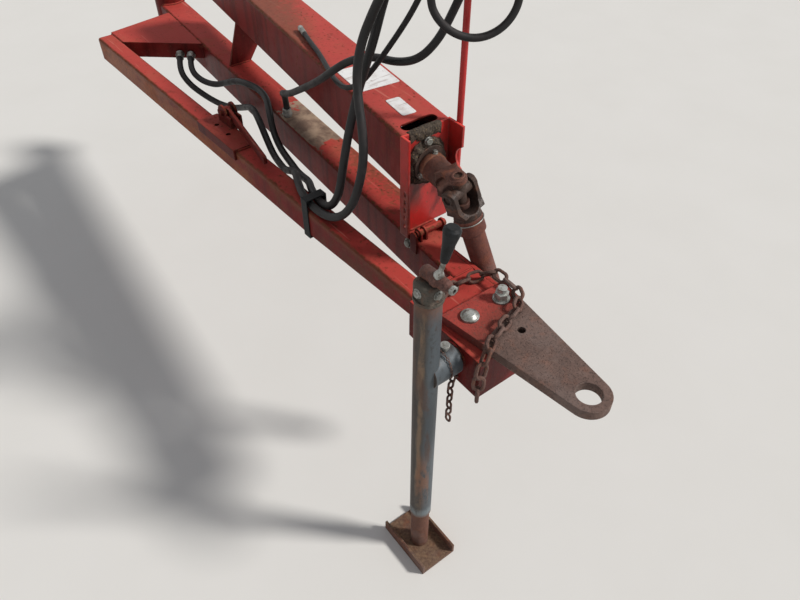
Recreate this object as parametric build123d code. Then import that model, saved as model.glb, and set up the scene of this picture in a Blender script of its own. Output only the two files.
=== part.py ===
from build123d import *
import math
import os

# Drawbar of a pull-type swather, with its parking jack and driveline end.
# Millimetres. X points forward to the hitch, Y to the left, Z up.
# The origin is the centre of the pivot bore at the rear of the main beam.

GROUND_Z = -649.0
HITCH_X, HITCH_Y = 2200.0, -182.0

# Main beam, a square tube that runs from the pivot to the nose.
BEAM_W, BEAM_H, BEAM_WALL, BEAM_CORNER = 90.0, 102.0, 8.0, 9.0
BEAM_SLOPE = -0.0634
PIVOT_BORE_R, PIVOT_BOSS_R, PIVOT_H = 25.5, 52.0, 150.0

# Right-hand rail, a rectangular tube on edge whose bottom rises to the nose.
RAIL_W, RAIL_H, RAIL_WALL, RAIL_CORNER = 51.0, 76.0, 5.0, 7.0
RAIL_FRONT_H, RAIL_TAPER_L = 58.0, 420.0
RAIL_REAR_X, RAIL_REAR_Y = 169.0, -305.5
RAIL_SLOPE = 0.0386

# Cross member between rail and beam, with a top plate that widens to the beam.
CROSS_H, CROSS_WALL = 50.0, 8.0
CROSS_REAR_X, CROSS_FRONT_RAIL_X, CROSS_FRONT_BEAM_X = 150.0, 250.0, 420.0

# Nose box under the hitch plate.
NOSE_REAR_X, NOSE_FRONT_X = 1805.0, 2022.0
NOSE_RIGHT, NOSE_LEFT = 96.0, 86.0
NOSE_H, NOSE_WALL = 100.0, 10.0
CHEEK_X, CHEEK_REAR_X = 1735.0, 1686.0
NOSE_SLANT_X, NOSE_FRONT_LEFT = 1962.0, 56.0

# Hitch plate with its eye.
PLATE_T, PLATE_REAR_X, PLATE_HALF_W = 20.0, 1890.0, 84.0
EYE_R, EYE_HOLE_R = 42.0, 25.0
BOLT_X, BOLT_Y, BOLT_R = 1928.0, 42.0, 10.0
PIN_HOLE_X, PIN_HOLE_DY, PIN_HOLE_R = 2015.0, 14.0, 8.5

# Driveline tunnel, an inverted trough of sheet, and the bracket that carries it.
TUNNEL_W, TUNNEL_H, TUNNEL_T, TUNNEL_FOLD = 132.0, 120.0, 4.0, 9.0
TUNNEL_SLOPE, TUNNEL_TOP_Z = -0.1228, 301.0
TUNNEL_FRONT_X, TUNNEL_REAR_X, TUNNEL_RIGHT_Y = 1615.0, 360.0, -158.0
BRACKET_X, BRACKET_T, BRACKET_FLANGE, EAR_FLANGE = 1615.0, 6.0, 28.0, 50.0
SLOTS, SLOT_PITCH, SLOT_L, SLOT_W = 5, 21.0, 13.0, 7.0
MOUTH_SLOT_L, MOUTH_SLOT_W = 92.0, 28.0
BAR_X, BAR_R, BAR_LIFT, LUG_T = 1659.0, 8.0, 17.0, 5.0
SUPPORT_X, SUPPORT_T = 620.0, 8.0

# Universal joint at the tunnel's mouth and the half shaft that hangs from it.
JOINT_X, JOINT_Y, JOINT_Z = 1748.0, -106.0, 220.0
SHAFT_R, SHAFT_REAR_X, BEARING_R, BEARING_T = 17.5, 330.0, 42.0, 14.0
HUB_YOKE_R, HUB_YOKE_L, PIN_PHASE = 29.0, 44.0, 10.0
STUB_R, STUB_L = 15.0, 110.0
YOKE_BASE, YOKE_BASE_T, YOKE_IN, YOKE_OUT, YOKE_SWING_R, EAR_R = 52.0, 10.0, 27.0, 39.0, 40.5, 18.0
PIN_R, PIN_CLEAR, CAP_RIM_R, CAP_RIM_T = 9.0, 0.05, 13.5, 2.0
THROAT_R, THROAT_Z, RING_WIRE_R = 27.0, 22.0, 1.2
COLLAR_R, HALF_R, HALF_WALL, HALF_L, COLLAR_L = 31.0, 25.0, 4.0, 400.0, 42.0
HALF_DIR = Vector(0.256, 0.204, -0.945).normalized()

# Parking jack on a pipe mount at the nose's right-hand side.
JACK_X, JACK_DY, JACK_R, JACK_BORE_R = 1951.0, -170.0, 25.4, 22.9
JACK_TOP_Z, JACK_BOTTOM_Z = 215.0, -492.0
LEG_R, LEG_WALL, LEG_TOP_Z = 22.2, 4.0, -212.0
FOOT_L, FOOT_W, FOOT_T, FOOT_FLANGE = 156.0, 100.0, 6.0, 26.0
MOUNT_Z, MOUNT_R, MOUNT_RING_R, MOUNT_CLEAR, MOUNT_WALL = 16.0, 27.0, 34.0, 0.4, 6.0
HEAD_W, HEAD_H, COLLAR_H = 48.0, 34.0, 7.0
HUB_R, HUB_L = 13.0, 66.0
GRIP_R1, GRIP_R2, GRIP_L, ARM_R = 6.6, 15.0, 68.0, 4.5

# Small parts on the rail and over the tunnel.
STRAP_X, STRAP_W, STRAP_T = 1408.0, 24.0, 2.5
SADDLE_X1, SADDLE_X2, SADDLE_T, SADDLE_SIDE = 880.0, 1082.0, 6.0, 30.0
SADDLE_HOLES_X, SADDLE_HOLE_R = (936.0, 1000.0), 6.5
LATCH_LUG_X, LATCH_LUG_Y, LATCH_GAP, LATCH_LUG_L, LATCH_LUG_H, LATCH_LUG_T = 948.0, 38.0, 24.0, 70.0, 52.0, 6.0
LATCH_PIN_R, LATCH_PIN_Z, LEVER_T, LEVER_L, LEVER_W, LEVER_DROP = 7.0, 30.0, 9.0, 262.0, 22.0, 15.2
ROD_R, ROD_X, ROD_LOW_Z = 7.0, 1640.0, 190.0
PARK_X, PARK_Y, PARK_Z, PARK_L, PARK_W, PARK_T = 1600.0, -62.0, 690.0, 248.0, 262.0, 8.0
HOSE_R, TIE_R, THIN_R, LOOP_R = 9.5, 8.5, 6.0, 7.5
COUPLER_R, COUPLER_L = 14.0, 62.0
CHAIN_WIRE_R, CHAIN_LINK_L, CHAIN_LINK_W = 3.8, 40.0, 27.0

TOP = BEAM_H / 2
AXIS_Y = HITCH_Y
PLATE_TOP = TOP + PLATE_T
parts = {}


def beam_y(x):
    return BEAM_SLOPE * x


def shaft_y(x):
    return JOINT_Y + TUNNEL_SLOPE * (x - JOINT_X)


def rail_y(x):
    return RAIL_REAR_Y + RAIL_SLOPE * (x - RAIL_REAR_X)


def plan(points, z0, height):
    """Prism over an outline in plan."""
    return extrude(Pos(0, 0, z0) * make_face(Polyline(*points, close=True)), height)


def between(a, b, radius):
    """Round bar from a to b."""
    a, b = Vector(*a), Vector(*b)
    return extrude(Plane(origin=a, z_dir=b - a) * Circle(radius), (b - a).length)


def main_beam():
    """Square tube with its pivot boss at the rear end."""
    angle = math.degrees(math.atan(BEAM_SLOPE))
    length = NOSE_REAR_X / math.cos(math.radians(angle))
    inner_w, inner_h = BEAM_W - 2 * BEAM_WALL, BEAM_H - 2 * BEAM_WALL
    section = RectangleRounded(BEAM_W, BEAM_H, BEAM_CORNER) - Rectangle(inner_w, inner_h)
    tube = Rot(0, 0, angle) * extrude(Plane.YZ * section, length)
    tube -= Pos(NOSE_REAR_X - 0.2, 0, 0) * Box(60, 500, 300, align=(Align.MIN, Align.CENTER, Align.CENTER))
    left = AXIS_Y + NOSE_LEFT - NOSE_WALL - 0.2
    corner = beam_y(CHEEK_REAR_X) + BEAM_W / 2 - NOSE_WALL
    tube -= plan([(CHEEK_REAR_X, corner + 40), (CHEEK_REAR_X, corner), (CHEEK_X, left), (NOSE_REAR_X, left),
                  (NOSE_REAR_X, corner + 40)], -BEAM_H, 2 * BEAM_H)
    boss = Cylinder(PIVOT_BOSS_R, PIVOT_H)
    tube -= Cylinder(PIVOT_BOSS_R, PIVOT_H)
    return (tube + boss) - Cylinder(PIVOT_BORE_R, PIVOT_H)


def near_rail():
    """Rail tube on edge; its underside rises over the last stretch to the nose."""
    angle = math.degrees(math.atan(RAIL_SLOPE))
    length = (NOSE_REAR_X - RAIL_REAR_X) / math.cos(math.radians(angle)) - 1.3

    def side(inset):
        drop = RAIL_H - RAIL_FRONT_H
        outline = Polyline((0, -inset), (length, -inset), (length, -RAIL_FRONT_H + inset),
                           (length - RAIL_TAPER_L, -RAIL_FRONT_H - drop + inset),
                           (0, -RAIL_H + inset), close=True)
        return extrude(Plane.XZ * make_face(outline), RAIL_W / 2 - inset, both=True)

    outer = side(0)
    long_edges = outer.edges().filter_by(lambda edge: abs(edge.tangent_at(0.5).X) > 0.9)
    tube = fillet(long_edges, RAIL_CORNER) - side(RAIL_WALL)
    return Pos(RAIL_REAR_X, RAIL_REAR_Y, TOP) * Rot(0, 0, angle) * tube


def cross_member():
    """Top plate that widens to the beam, with a web along its front and rear edges."""
    rail_side = rail_y(CROSS_REAR_X) + RAIL_W / 2 + 2
    beam_side = beam_y(CROSS_FRONT_BEAM_X) - BEAM_W / 2 - 2
    outline = [(CROSS_REAR_X, rail_side), (CROSS_FRONT_RAIL_X, rail_side + 4),
               (CROSS_FRONT_BEAM_X, beam_side), (CROSS_REAR_X - 40, beam_y(110) - BEAM_W / 2 - 1)]
    solid = plan(outline, TOP - CROSS_H, CROSS_H)
    shrunk = offset(make_face(Polyline(*outline, close=True)), -CROSS_WALL)
    solid -= extrude(Pos(0, 0, TOP - CROSS_H) * shrunk, CROSS_H - CROSS_WALL)
    return solid


def nose():
    """Plates that form the box under the hitch plate; the left one runs back along the beam."""
    right, left = AXIS_Y - NOSE_RIGHT, AXIS_Y + NOSE_LEFT
    low = TOP - NOSE_H
    front = NOSE_FRONT_X - NOSE_WALL
    parts["nose_side_right"] = plan([(NOSE_REAR_X, right), (front, right), (front, right + NOSE_WALL),
                                     (NOSE_REAR_X, right + NOSE_WALL)], low, NOSE_H)
    rear = beam_y(CHEEK_REAR_X) + BEAM_W / 2
    end_left = AXIS_Y + NOSE_FRONT_LEFT
    parts["nose_side_left"] = plan([(front, end_left - NOSE_WALL), (front, end_left), (NOSE_SLANT_X, left),
                                    (CHEEK_X, left), (CHEEK_REAR_X, rear), (CHEEK_REAR_X, rear - NOSE_WALL),
                                    (CHEEK_X, left - NOSE_WALL), (NOSE_SLANT_X, left - NOSE_WALL)], low, NOSE_H)
    parts["nose_end_plate"] = plan([(front, right), (front + NOSE_WALL, right), (front + NOSE_WALL, end_left),
                                    (front, end_left)], low, NOSE_H)
    top = plan([(NOSE_REAR_X, right + NOSE_WALL), (front, right + NOSE_WALL), (front, end_left - NOSE_WALL),
                (NOSE_SLANT_X, left - NOSE_WALL), (NOSE_REAR_X, left - NOSE_WALL)], TOP - NOSE_WALL, NOSE_WALL)
    for side in (-1, 1):
        top -= Pos(BOLT_X, AXIS_Y + side * BOLT_Y, TOP) * Cylinder(BOLT_R + 0.5, 60)
    parts["nose_top_plate"] = top
    web_right, web_left = rail_y(NOSE_REAR_X) + RAIL_W / 2 + 0.4, beam_y(NOSE_REAR_X) - BEAM_W / 2 - 0.4
    parts["nose_web"] = plan([(NOSE_REAR_X - NOSE_WALL, web_right), (NOSE_REAR_X - 0.2, web_right),
                              (NOSE_REAR_X - 0.2, web_left), (NOSE_REAR_X - NOSE_WALL, web_left)],
                             low, NOSE_H)


def hitch_plate():
    """Tapered plate with a round eye, straight edges tangent to the eye's rim."""
    half_angle = math.asin((PLATE_HALF_W - EYE_R) / (HITCH_X - PLATE_REAR_X))
    tx, ty = EYE_R * math.sin(half_angle), EYE_R * math.cos(half_angle)
    outline = [(PLATE_REAR_X, AXIS_Y - PLATE_HALF_W), (HITCH_X + tx, HITCH_Y - ty),
               (HITCH_X + tx, HITCH_Y + ty), (PLATE_REAR_X, AXIS_Y + PLATE_HALF_W)]
    plate = plan(outline, TOP, PLATE_T)
    plate += Pos(HITCH_X, HITCH_Y, TOP + PLATE_T / 2) * Cylinder(EYE_R, PLATE_T)
    plate -= Pos(HITCH_X, HITCH_Y, TOP) * Cylinder(EYE_HOLE_R, 3 * PLATE_T)
    plate -= Pos(PIN_HOLE_X, AXIS_Y + PIN_HOLE_DY, TOP) * Cylinder(PIN_HOLE_R, 3 * PLATE_T)
    for side in (-1, 1):
        plate -= Pos(BOLT_X, AXIS_Y + side * BOLT_Y, TOP) * Cylinder(BOLT_R + 0.5, 3 * PLATE_T)
    return plate


def hitch_bolts():
    """Two bolts through plate and nose top: a domed head and a tall nut on its stud."""
    low = TOP - NOSE_WALL
    shank = Pos(0, 0, low - 14) * Cylinder(BOLT_R, PLATE_TOP - low + 14, align=(Align.CENTER, Align.CENTER, Align.MIN))
    nut = Pos(0, 0, low - 14) * extrude(RegularPolygon(16, 6), 13.9)
    dome = Pos(0, 0, PLATE_TOP + 0.1) * Cylinder(19, 5, align=(Align.CENTER, Align.CENTER, Align.MIN))
    dome += Pos(0, 0, PLATE_TOP + 5) * Cone(16, 9, 6, align=(Align.CENTER, Align.CENTER, Align.MIN))
    tall = Pos(0, 0, PLATE_TOP + 0.1) * Cylinder(18, 4, align=(Align.CENTER, Align.CENTER, Align.MIN))
    tall += Pos(0, 0, PLATE_TOP + 4) * extrude(RegularPolygon(15, 6), 16)
    tall += Pos(0, 0, PLATE_TOP + 20) * Cylinder(BOLT_R, 12, align=(Align.CENTER, Align.CENTER, Align.MIN))
    right = Pos(BOLT_X, AXIS_Y - BOLT_Y, 0) * (shank + nut + dome)
    left = Pos(BOLT_X, AXIS_Y + BOLT_Y, 0) * (shank + nut + tall)
    return Compound(children=[right, left])


def tunnel():
    """Inverted trough of folded sheet that guards the driveline."""
    angle = math.degrees(math.atan(TUNNEL_SLOPE))
    length = TUNNEL_FRONT_X - TUNNEL_REAR_X
    section = RectangleRounded(TUNNEL_W, 2 * TUNNEL_H, TUNNEL_FOLD)
    section -= RectangleRounded(TUNNEL_W - 2 * TUNNEL_T, 2 * TUNNEL_H - 2 * TUNNEL_T, TUNNEL_FOLD - TUNNEL_T)
    section -= Pos(0, -TUNNEL_H) * Rectangle(2 * TUNNEL_W, 2 * TUNNEL_H)
    trough = extrude(Plane.YZ * Pos(TUNNEL_W / 2, -TUNNEL_H) * section, length + 60)
    trough = Pos(TUNNEL_FRONT_X, TUNNEL_RIGHT_Y, TUNNEL_TOP_Z) * Rot(0, 0, angle) * Pos(-length, 0, 0) * trough
    mouth = Pos(TUNNEL_FRONT_X - 0.1, 0, 0) * Box(200, 900, 900, align=(Align.MIN, Align.CENTER, Align.CENTER))
    slot_x = TUNNEL_FRONT_X - 7 - MOUTH_SLOT_W / 2
    slot = extrude(Rot(0, 0, 90) * SlotOverall(MOUTH_SLOT_L, MOUTH_SLOT_W), 3 * TUNNEL_T, both=True)
    return trough - mouth - Pos(slot_x, TUNNEL_RIGHT_Y + TUNNEL_W / 2, TUNNEL_TOP_Z) * slot


def front_bracket():
    """Folded plate across the tunnel's mouth, down to the beam, with forward flanges."""
    right, left = TUNNEL_RIGHT_Y, TUNNEL_RIGHT_Y + TUNNEL_W
    low = TOP + 1
    height = TUNNEL_TOP_Z - low
    corner = (Align.MIN, Align.MIN, Align.MIN)
    web = Pos(BRACKET_X, right, low) * Box(BRACKET_T, left - right, height, align=corner)
    web -= Pos(BRACKET_X, shaft_y(BRACKET_X), JOINT_Z) * Rot(0, 90, 0) * Cylinder(SHAFT_R + 6, 60)
    near = Pos(BRACKET_X, right, low) * Box(BRACKET_FLANGE, BRACKET_T, height, align=corner)
    hole = extrude(Plane.XZ * Rot(0, 0, 90) * SlotOverall(SLOT_L, SLOT_W), 4 * BRACKET_T, both=True)
    for i in range(SLOTS):
        near -= Pos(BRACKET_X + 0.6 * BRACKET_FLANGE, right, low + 30 + i * SLOT_PITCH) * hole
    ear_low = low + 0.3 * height
    far = Pos(BRACKET_X, left - BRACKET_T, ear_low) * Box(EAR_FLANGE, BRACKET_T, height - 0.3 * height, align=corner)
    scallop = Rot(90, 0, 0) * Cylinder(0.6 * EAR_FLANGE, 4 * BRACKET_T)
    far -= Pos(BRACKET_X + 1.24 * EAR_FLANGE, left, low + 0.69 * height) * scallop
    far -= Pos(BRACKET_X + 1.32 * EAR_FLANGE, left, low + 0.4 * height) * scallop
    return web + near + far


def guard_bar():
    """Round bar on three lugs across the beam's top, in front of the bracket."""
    right = beam_y(BAR_X) - BEAM_W / 2 + BEAM_CORNER
    places = [right, right + 3 * LUG_T, right + BEAM_W - 2 * BEAM_CORNER - LUG_T]
    lug = Rectangle(3 * BAR_R, BAR_LIFT, align=(Align.CENTER, Align.MIN)) + Pos(0, BAR_LIFT) * Circle(1.5 * BAR_R)
    bar = Pos(BAR_X, right - LUG_T, TOP + BAR_LIFT) * Rot(-90, 0, 0) * Cylinder(
        BAR_R, BEAM_W - 2 * BEAM_CORNER + 2 * LUG_T, align=(Align.CENTER, Align.CENTER, Align.MIN))
    for y in places:
        bar += Pos(BAR_X, y + LUG_T, TOP + 0.1) * extrude(Plane.XZ * lug, LUG_T)
    return bar


def tunnel_support():
    """Rear saddle that carries the tunnel and the shaft's rear bearing from the beam's top."""
    x = SUPPORT_X
    right = TUNNEL_RIGHT_Y + TUNNEL_SLOPE * (x - TUNNEL_FRONT_X) + TUNNEL_T + 0.4
    left = right + TUNNEL_W - 2 * TUNNEL_T - 2
    beam_right = beam_y(x) - BEAM_W / 2
    low, top = TOP + 0.4, TUNNEL_TOP_Z - TUNNEL_T - 0.4
    cut = TUNNEL_FOLD - TUNNEL_T
    outline = [(beam_right + BEAM_CORNER, low), (beam_right + BEAM_W - BEAM_CORNER, low), (left, top - 118),
               (left, top - cut), (left - cut, top), (right + cut, top), (right, top - cut), (right, top - 118)]
    face = make_face(Polyline(*outline, close=True))
    plate = Pos(x, 0, 0) * extrude(Plane.YZ * face, SUPPORT_T)
    return plate - Pos(x, shaft_y(x), JOINT_Z) * Rot(0, 90, 0) * Cylinder(SHAFT_R + 6, 60)


def yoke(direction, pin_axis, hub_r):
    """Forged fork: a side profile with a round throat, cut by a front profile that narrows to the ears."""
    frame = Plane(origin=(JOINT_X, JOINT_Y, JOINT_Z), x_dir=pin_axis, z_dir=direction)
    end = YOKE_BASE + YOKE_BASE_T
    side = Polyline((YOKE_OUT, -EAR_R), (YOKE_OUT, 0.45 * YOKE_BASE), (hub_r, YOKE_BASE), (hub_r, end),
                    (-hub_r, end), (-hub_r, YOKE_BASE), (-YOKE_OUT, 0.45 * YOKE_BASE), (-YOKE_OUT, -EAR_R), close=True)
    profile = make_face(side) - Pos(0, THROAT_Z) * Circle(THROAT_R)
    profile -= Pos(0, THROAT_Z) * Rectangle(2 * YOKE_IN, 4 * YOKE_OUT, align=(Align.CENTER, Align.MAX))
    waist = 0.66 * YOKE_BASE
    front = make_face(Polyline((EAR_R, 0), (EAR_R, waist), (hub_r, YOKE_BASE), (hub_r, end),
                               (-hub_r, end), (-hub_r, YOKE_BASE), (-EAR_R, waist), (-EAR_R, 0), close=True))
    fork = extrude(Plane.XZ * profile, hub_r, both=True) & extrude(Plane.YZ * (front + Circle(EAR_R)), YOKE_OUT, both=True)
    fork &= Cylinder(hub_r, YOKE_BASE_T + 4, align=(Align.CENTER, Align.CENTER, Align.MAX)).moved(
        Location((0, 0, end))) + Pos(0, 0, -2 * EAR_R) * Box(3 * YOKE_OUT, 3 * YOKE_OUT, YOKE_BASE - 4 + 2 * EAR_R,
                                                             align=(Align.CENTER, Align.CENTER, Align.MIN))
    fork &= Cylinder(YOKE_SWING_R, 4 * YOKE_BASE)
    for turn in (0, 180):
        rim = Pos(YOKE_OUT - 0.1, 0, 0) * Rot(0, 90, 0) * Cylinder(CAP_RIM_R, CAP_RIM_T, align=(
            Align.CENTER, Align.CENTER, Align.MIN))
        fork += Rot(0, 0, turn) * rim
    fork -= Rot(0, 90, 0) * Cylinder(PIN_R + PIN_CLEAR, 4 * YOKE_OUT)
    return frame, fork


def driveline():
    """Input yoke with its shaft, the cross, and the half shaft with collar and tube."""
    d1 = Vector(1, TUNNEL_SLOPE, 0).normalized()
    side = Vector(d1.Y, -d1.X, 0)
    phase = math.radians(PIN_PHASE)
    p1 = (Vector(0, 0, 1) * math.cos(phase) + side * math.sin(phase)).normalized()
    p2 = HALF_DIR.cross(p1).normalized()
    centre = Vector(JOINT_X, JOINT_Y, JOINT_Z)
    start = YOKE_BASE + YOKE_BASE_T
    low = (Align.CENTER, Align.CENTER, Align.MIN)
    frame, fork = yoke(-d1, p1, HUB_YOKE_R)
    fork += Pos(0, 0, start) * Cylinder(HUB_YOKE_R, HUB_YOKE_L, align=low)
    rear = (JOINT_X - SHAFT_REAR_X) / d1.X
    fork += Pos(0, 0, start) * Cylinder(SHAFT_R, rear - STUB_L - start, align=low)
    fork += Pos(0, 0, rear - STUB_L) * Cylinder(STUB_R, STUB_L, align=low)
    parts["input_yoke"] = frame * fork
    cross = Plane(origin=centre, z_dir=p1) * Cylinder(13, 2 * YOKE_IN - 4)
    cross += Plane(origin=centre, z_dir=p2) * Cylinder(13, 2 * YOKE_IN - 4)
    cross += Plane(origin=centre, z_dir=p1) * Cylinder(PIN_R, 2 * YOKE_OUT - 4)
    cross += Plane(origin=centre, z_dir=p2) * Cylinder(PIN_R, 2 * YOKE_OUT - 4)
    parts["joint_cross"] = cross
    frame, fork = yoke(HALF_DIR, p2, COLLAR_R - 1)
    parts["shaft_yoke"] = frame * fork
    collar = Pos(0, 0, start) * Cylinder(COLLAR_R, COLLAR_L, align=low)
    parts["shaft_collar"] = frame * chamfer(collar.edges().sort_by(Axis.Z)[-1], 5)
    ring = Pos(0, 0, start + 9) * Torus(COLLAR_R + RING_WIRE_R + 0.1, RING_WIRE_R)
    parts["collar_ring"] = frame * ring
    tube = Pos(0, 0, start + COLLAR_L) * Cylinder(HALF_R, HALF_L - COLLAR_L, align=low)
    bore = Pos(0, 0, start + COLLAR_L) * Cylinder(HALF_R - HALF_WALL, HALF_L, align=low)
    parts["shaft_tube"] = frame * (tube - bore)
    return centre, p1, p2


def bearing_housings():
    """Flanged bearings on the front bracket and the rear support, round the shaft."""
    d1 = Vector(1, TUNNEL_SLOPE, 0).normalized()
    rings = []
    for x in (BRACKET_X + BRACKET_T + 0.1, SUPPORT_X + SUPPORT_T + 0.1):
        ring = Cylinder(BEARING_R, BEARING_T, align=(Align.CENTER, Align.CENTER, Align.MIN))
        body = Pos(x, shaft_y(x), JOINT_Z) * Rot(0, 90, 0) * ring
        rings.append(body - Plane(origin=(x, shaft_y(x), JOINT_Z), z_dir=d1) * Cylinder(SHAFT_R + 0.2, 80))
    return Compound(children=rings)


def jack():
    """Outer tube with its pivot ring, head, hub and handle, and the sliding leg with its foot."""
    y = AXIS_Y + JACK_DY
    low = (Align.CENTER, Align.CENTER, Align.MIN)
    length = JACK_TOP_Z - JACK_BOTTOM_Z
    tube = Pos(JACK_X, y, JACK_BOTTOM_Z) * Cylinder(JACK_R, length, align=low)
    ring_y1 = AXIS_Y - NOSE_RIGHT - 8
    ring_l = ring_y1 - y
    ring = Pos(JACK_X, ring_y1, MOUNT_Z) * Rot(90, 0, 0) * Cylinder(MOUNT_RING_R, ring_l, align=low)
    bore = Pos(JACK_X, ring_y1, MOUNT_Z) * Rot(90, 0, 0) * Cylinder(MOUNT_R + MOUNT_CLEAR, ring_l - JACK_R - 4, align=low)
    tube = (tube + ring) - bore
    tube -= Pos(JACK_X, y, JACK_BOTTOM_Z) * Cylinder(JACK_BORE_R, length, align=low)
    parts["jack_tube"] = tube
    mount_l = (AXIS_Y - NOSE_RIGHT) - (y + JACK_R + 6)
    pipe = Cylinder(MOUNT_R, mount_l, align=low) - Cylinder(MOUNT_R - MOUNT_WALL, mount_l, align=low)
    parts["jack_mount"] = Pos(JACK_X, AXIS_Y - NOSE_RIGHT, MOUNT_Z) * Rot(90, 0, 0) * pipe
    head = Pos(JACK_X, y, JACK_TOP_Z) * Cylinder(JACK_R + 3, COLLAR_H, align=low)
    block = Box(HEAD_W, HEAD_W, HEAD_H, align=low)
    block = fillet(block.edges().filter_by(Axis.Z), 15)
    block = fillet(block.faces().sort_by(Axis.Z)[-1].edges(), 8)
    head += Pos(JACK_X, y, JACK_TOP_Z + COLLAR_H) * block
    hub_z = JACK_TOP_Z + COLLAR_H + HEAD_H + HUB_R - 3
    hub_place = Pos(JACK_X - 18, y + 2, hub_z) * Rot(0, 0, 5) * Rot(0, 90, 0)
    barrel = Polyline((0, 0), (HUB_R - 2, 0), (HUB_R, 3), (HUB_R, 26), (HUB_R + 2, 28), (HUB_R + 2, 36),
                      (HUB_R - 1, 39), (HUB_R - 2, HUB_L - 8), (8, HUB_L - 4), (8, HUB_L), (0, HUB_L), close=True)
    hub = hub_place * revolve(Plane.XZ * make_face(barrel), Axis.Z)
    parts["jack_head"] = head - hub
    parts["jack_hub"] = hub
    nut = extrude(RegularPolygon(8.5, 6) - Circle(4.2), 7)
    bolt = extrude(RegularPolygon(7.5, 6), 5) + Pos(0, 0, -0.05) * Cylinder(9.5, 1.2, align=low)
    nuts = [hub_place * Pos(0, 0, HUB_L + 0.1) * nut,
            Pos(JACK_X, y - HEAD_W / 2 - 0.1, JACK_TOP_Z + COLLAR_H + 0.5 * HEAD_H) * Rot(90, 0, 0) * bolt,
            Pos(JACK_X + HEAD_W / 2 + 0.1, y, JACK_TOP_Z + COLLAR_H + 0.5 * HEAD_H) * Rot(0, 90, 0) * bolt]
    parts["jack_nuts"] = Compound(children=nuts)
    root = (JACK_X + 18, y + 5, hub_z + HUB_R - 2)
    bend = (JACK_X + 31, y + 2, hub_z + HUB_R + 34)
    axis = Plane(origin=bend, z_dir=Vector(3, 13, 68))
    lean = Plane(origin=root, z_dir=Vector(*bend) - Vector(*root))
    arm = between(root, bend, ARM_R) + Pos(*bend) * Sphere(ARM_R) + axis * Cylinder(ARM_R, 60, align=low)
    arm += lean * Cone(2.2 * ARM_R, ARM_R, 16, align=low)
    parts["jack_handle"] = arm - hub
    outline = Polyline((0, 0), (GRIP_R1, 0), (GRIP_R1 + 1.5, 8), (0.72 * GRIP_R2, 0.5 * GRIP_L), (GRIP_R2, 0.84 * GRIP_L),
                       (GRIP_R2, 0.93 * GRIP_L), (GRIP_R2 - 4, GRIP_L), (0, GRIP_L), close=True)
    grip = revolve(Plane.XZ * make_face(outline), Axis.Z) - Cylinder(ARM_R + 0.2, 57, align=low)
    parts["jack_grip"] = axis * Pos(0, 0, 4) * grip
    pin_y = (ring_y1 + y + JACK_R) / 2
    pin = Pos(JACK_X, pin_y, MOUNT_Z + MOUNT_RING_R + 0.1) * Cylinder(6, 9, align=low)
    pin += Pos(JACK_X, pin_y, MOUNT_Z + MOUNT_RING_R + 9) * Cylinder(10, 6, align=low)
    parts["jack_pin"] = pin
    foot_z = GROUND_Z + FOOT_T
    leg = Pos(JACK_X, y, foot_z) * Cylinder(LEG_R, LEG_TOP_Z - foot_z, align=low)
    leg -= Pos(JACK_X, y, foot_z) * Cylinder(LEG_R - LEG_WALL, LEG_TOP_Z - foot_z, align=low)
    parts["jack_leg"] = leg
    foot = Box(FOOT_L, FOOT_W, FOOT_T + FOOT_FLANGE, align=low)
    foot -= Pos(0, 0, FOOT_T) * Box(FOOT_L, FOOT_W - 2 * FOOT_T, FOOT_FLANGE, align=low)
    parts["jack_foot"] = Pos(JACK_X, y, GROUND_Z) * foot


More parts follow.
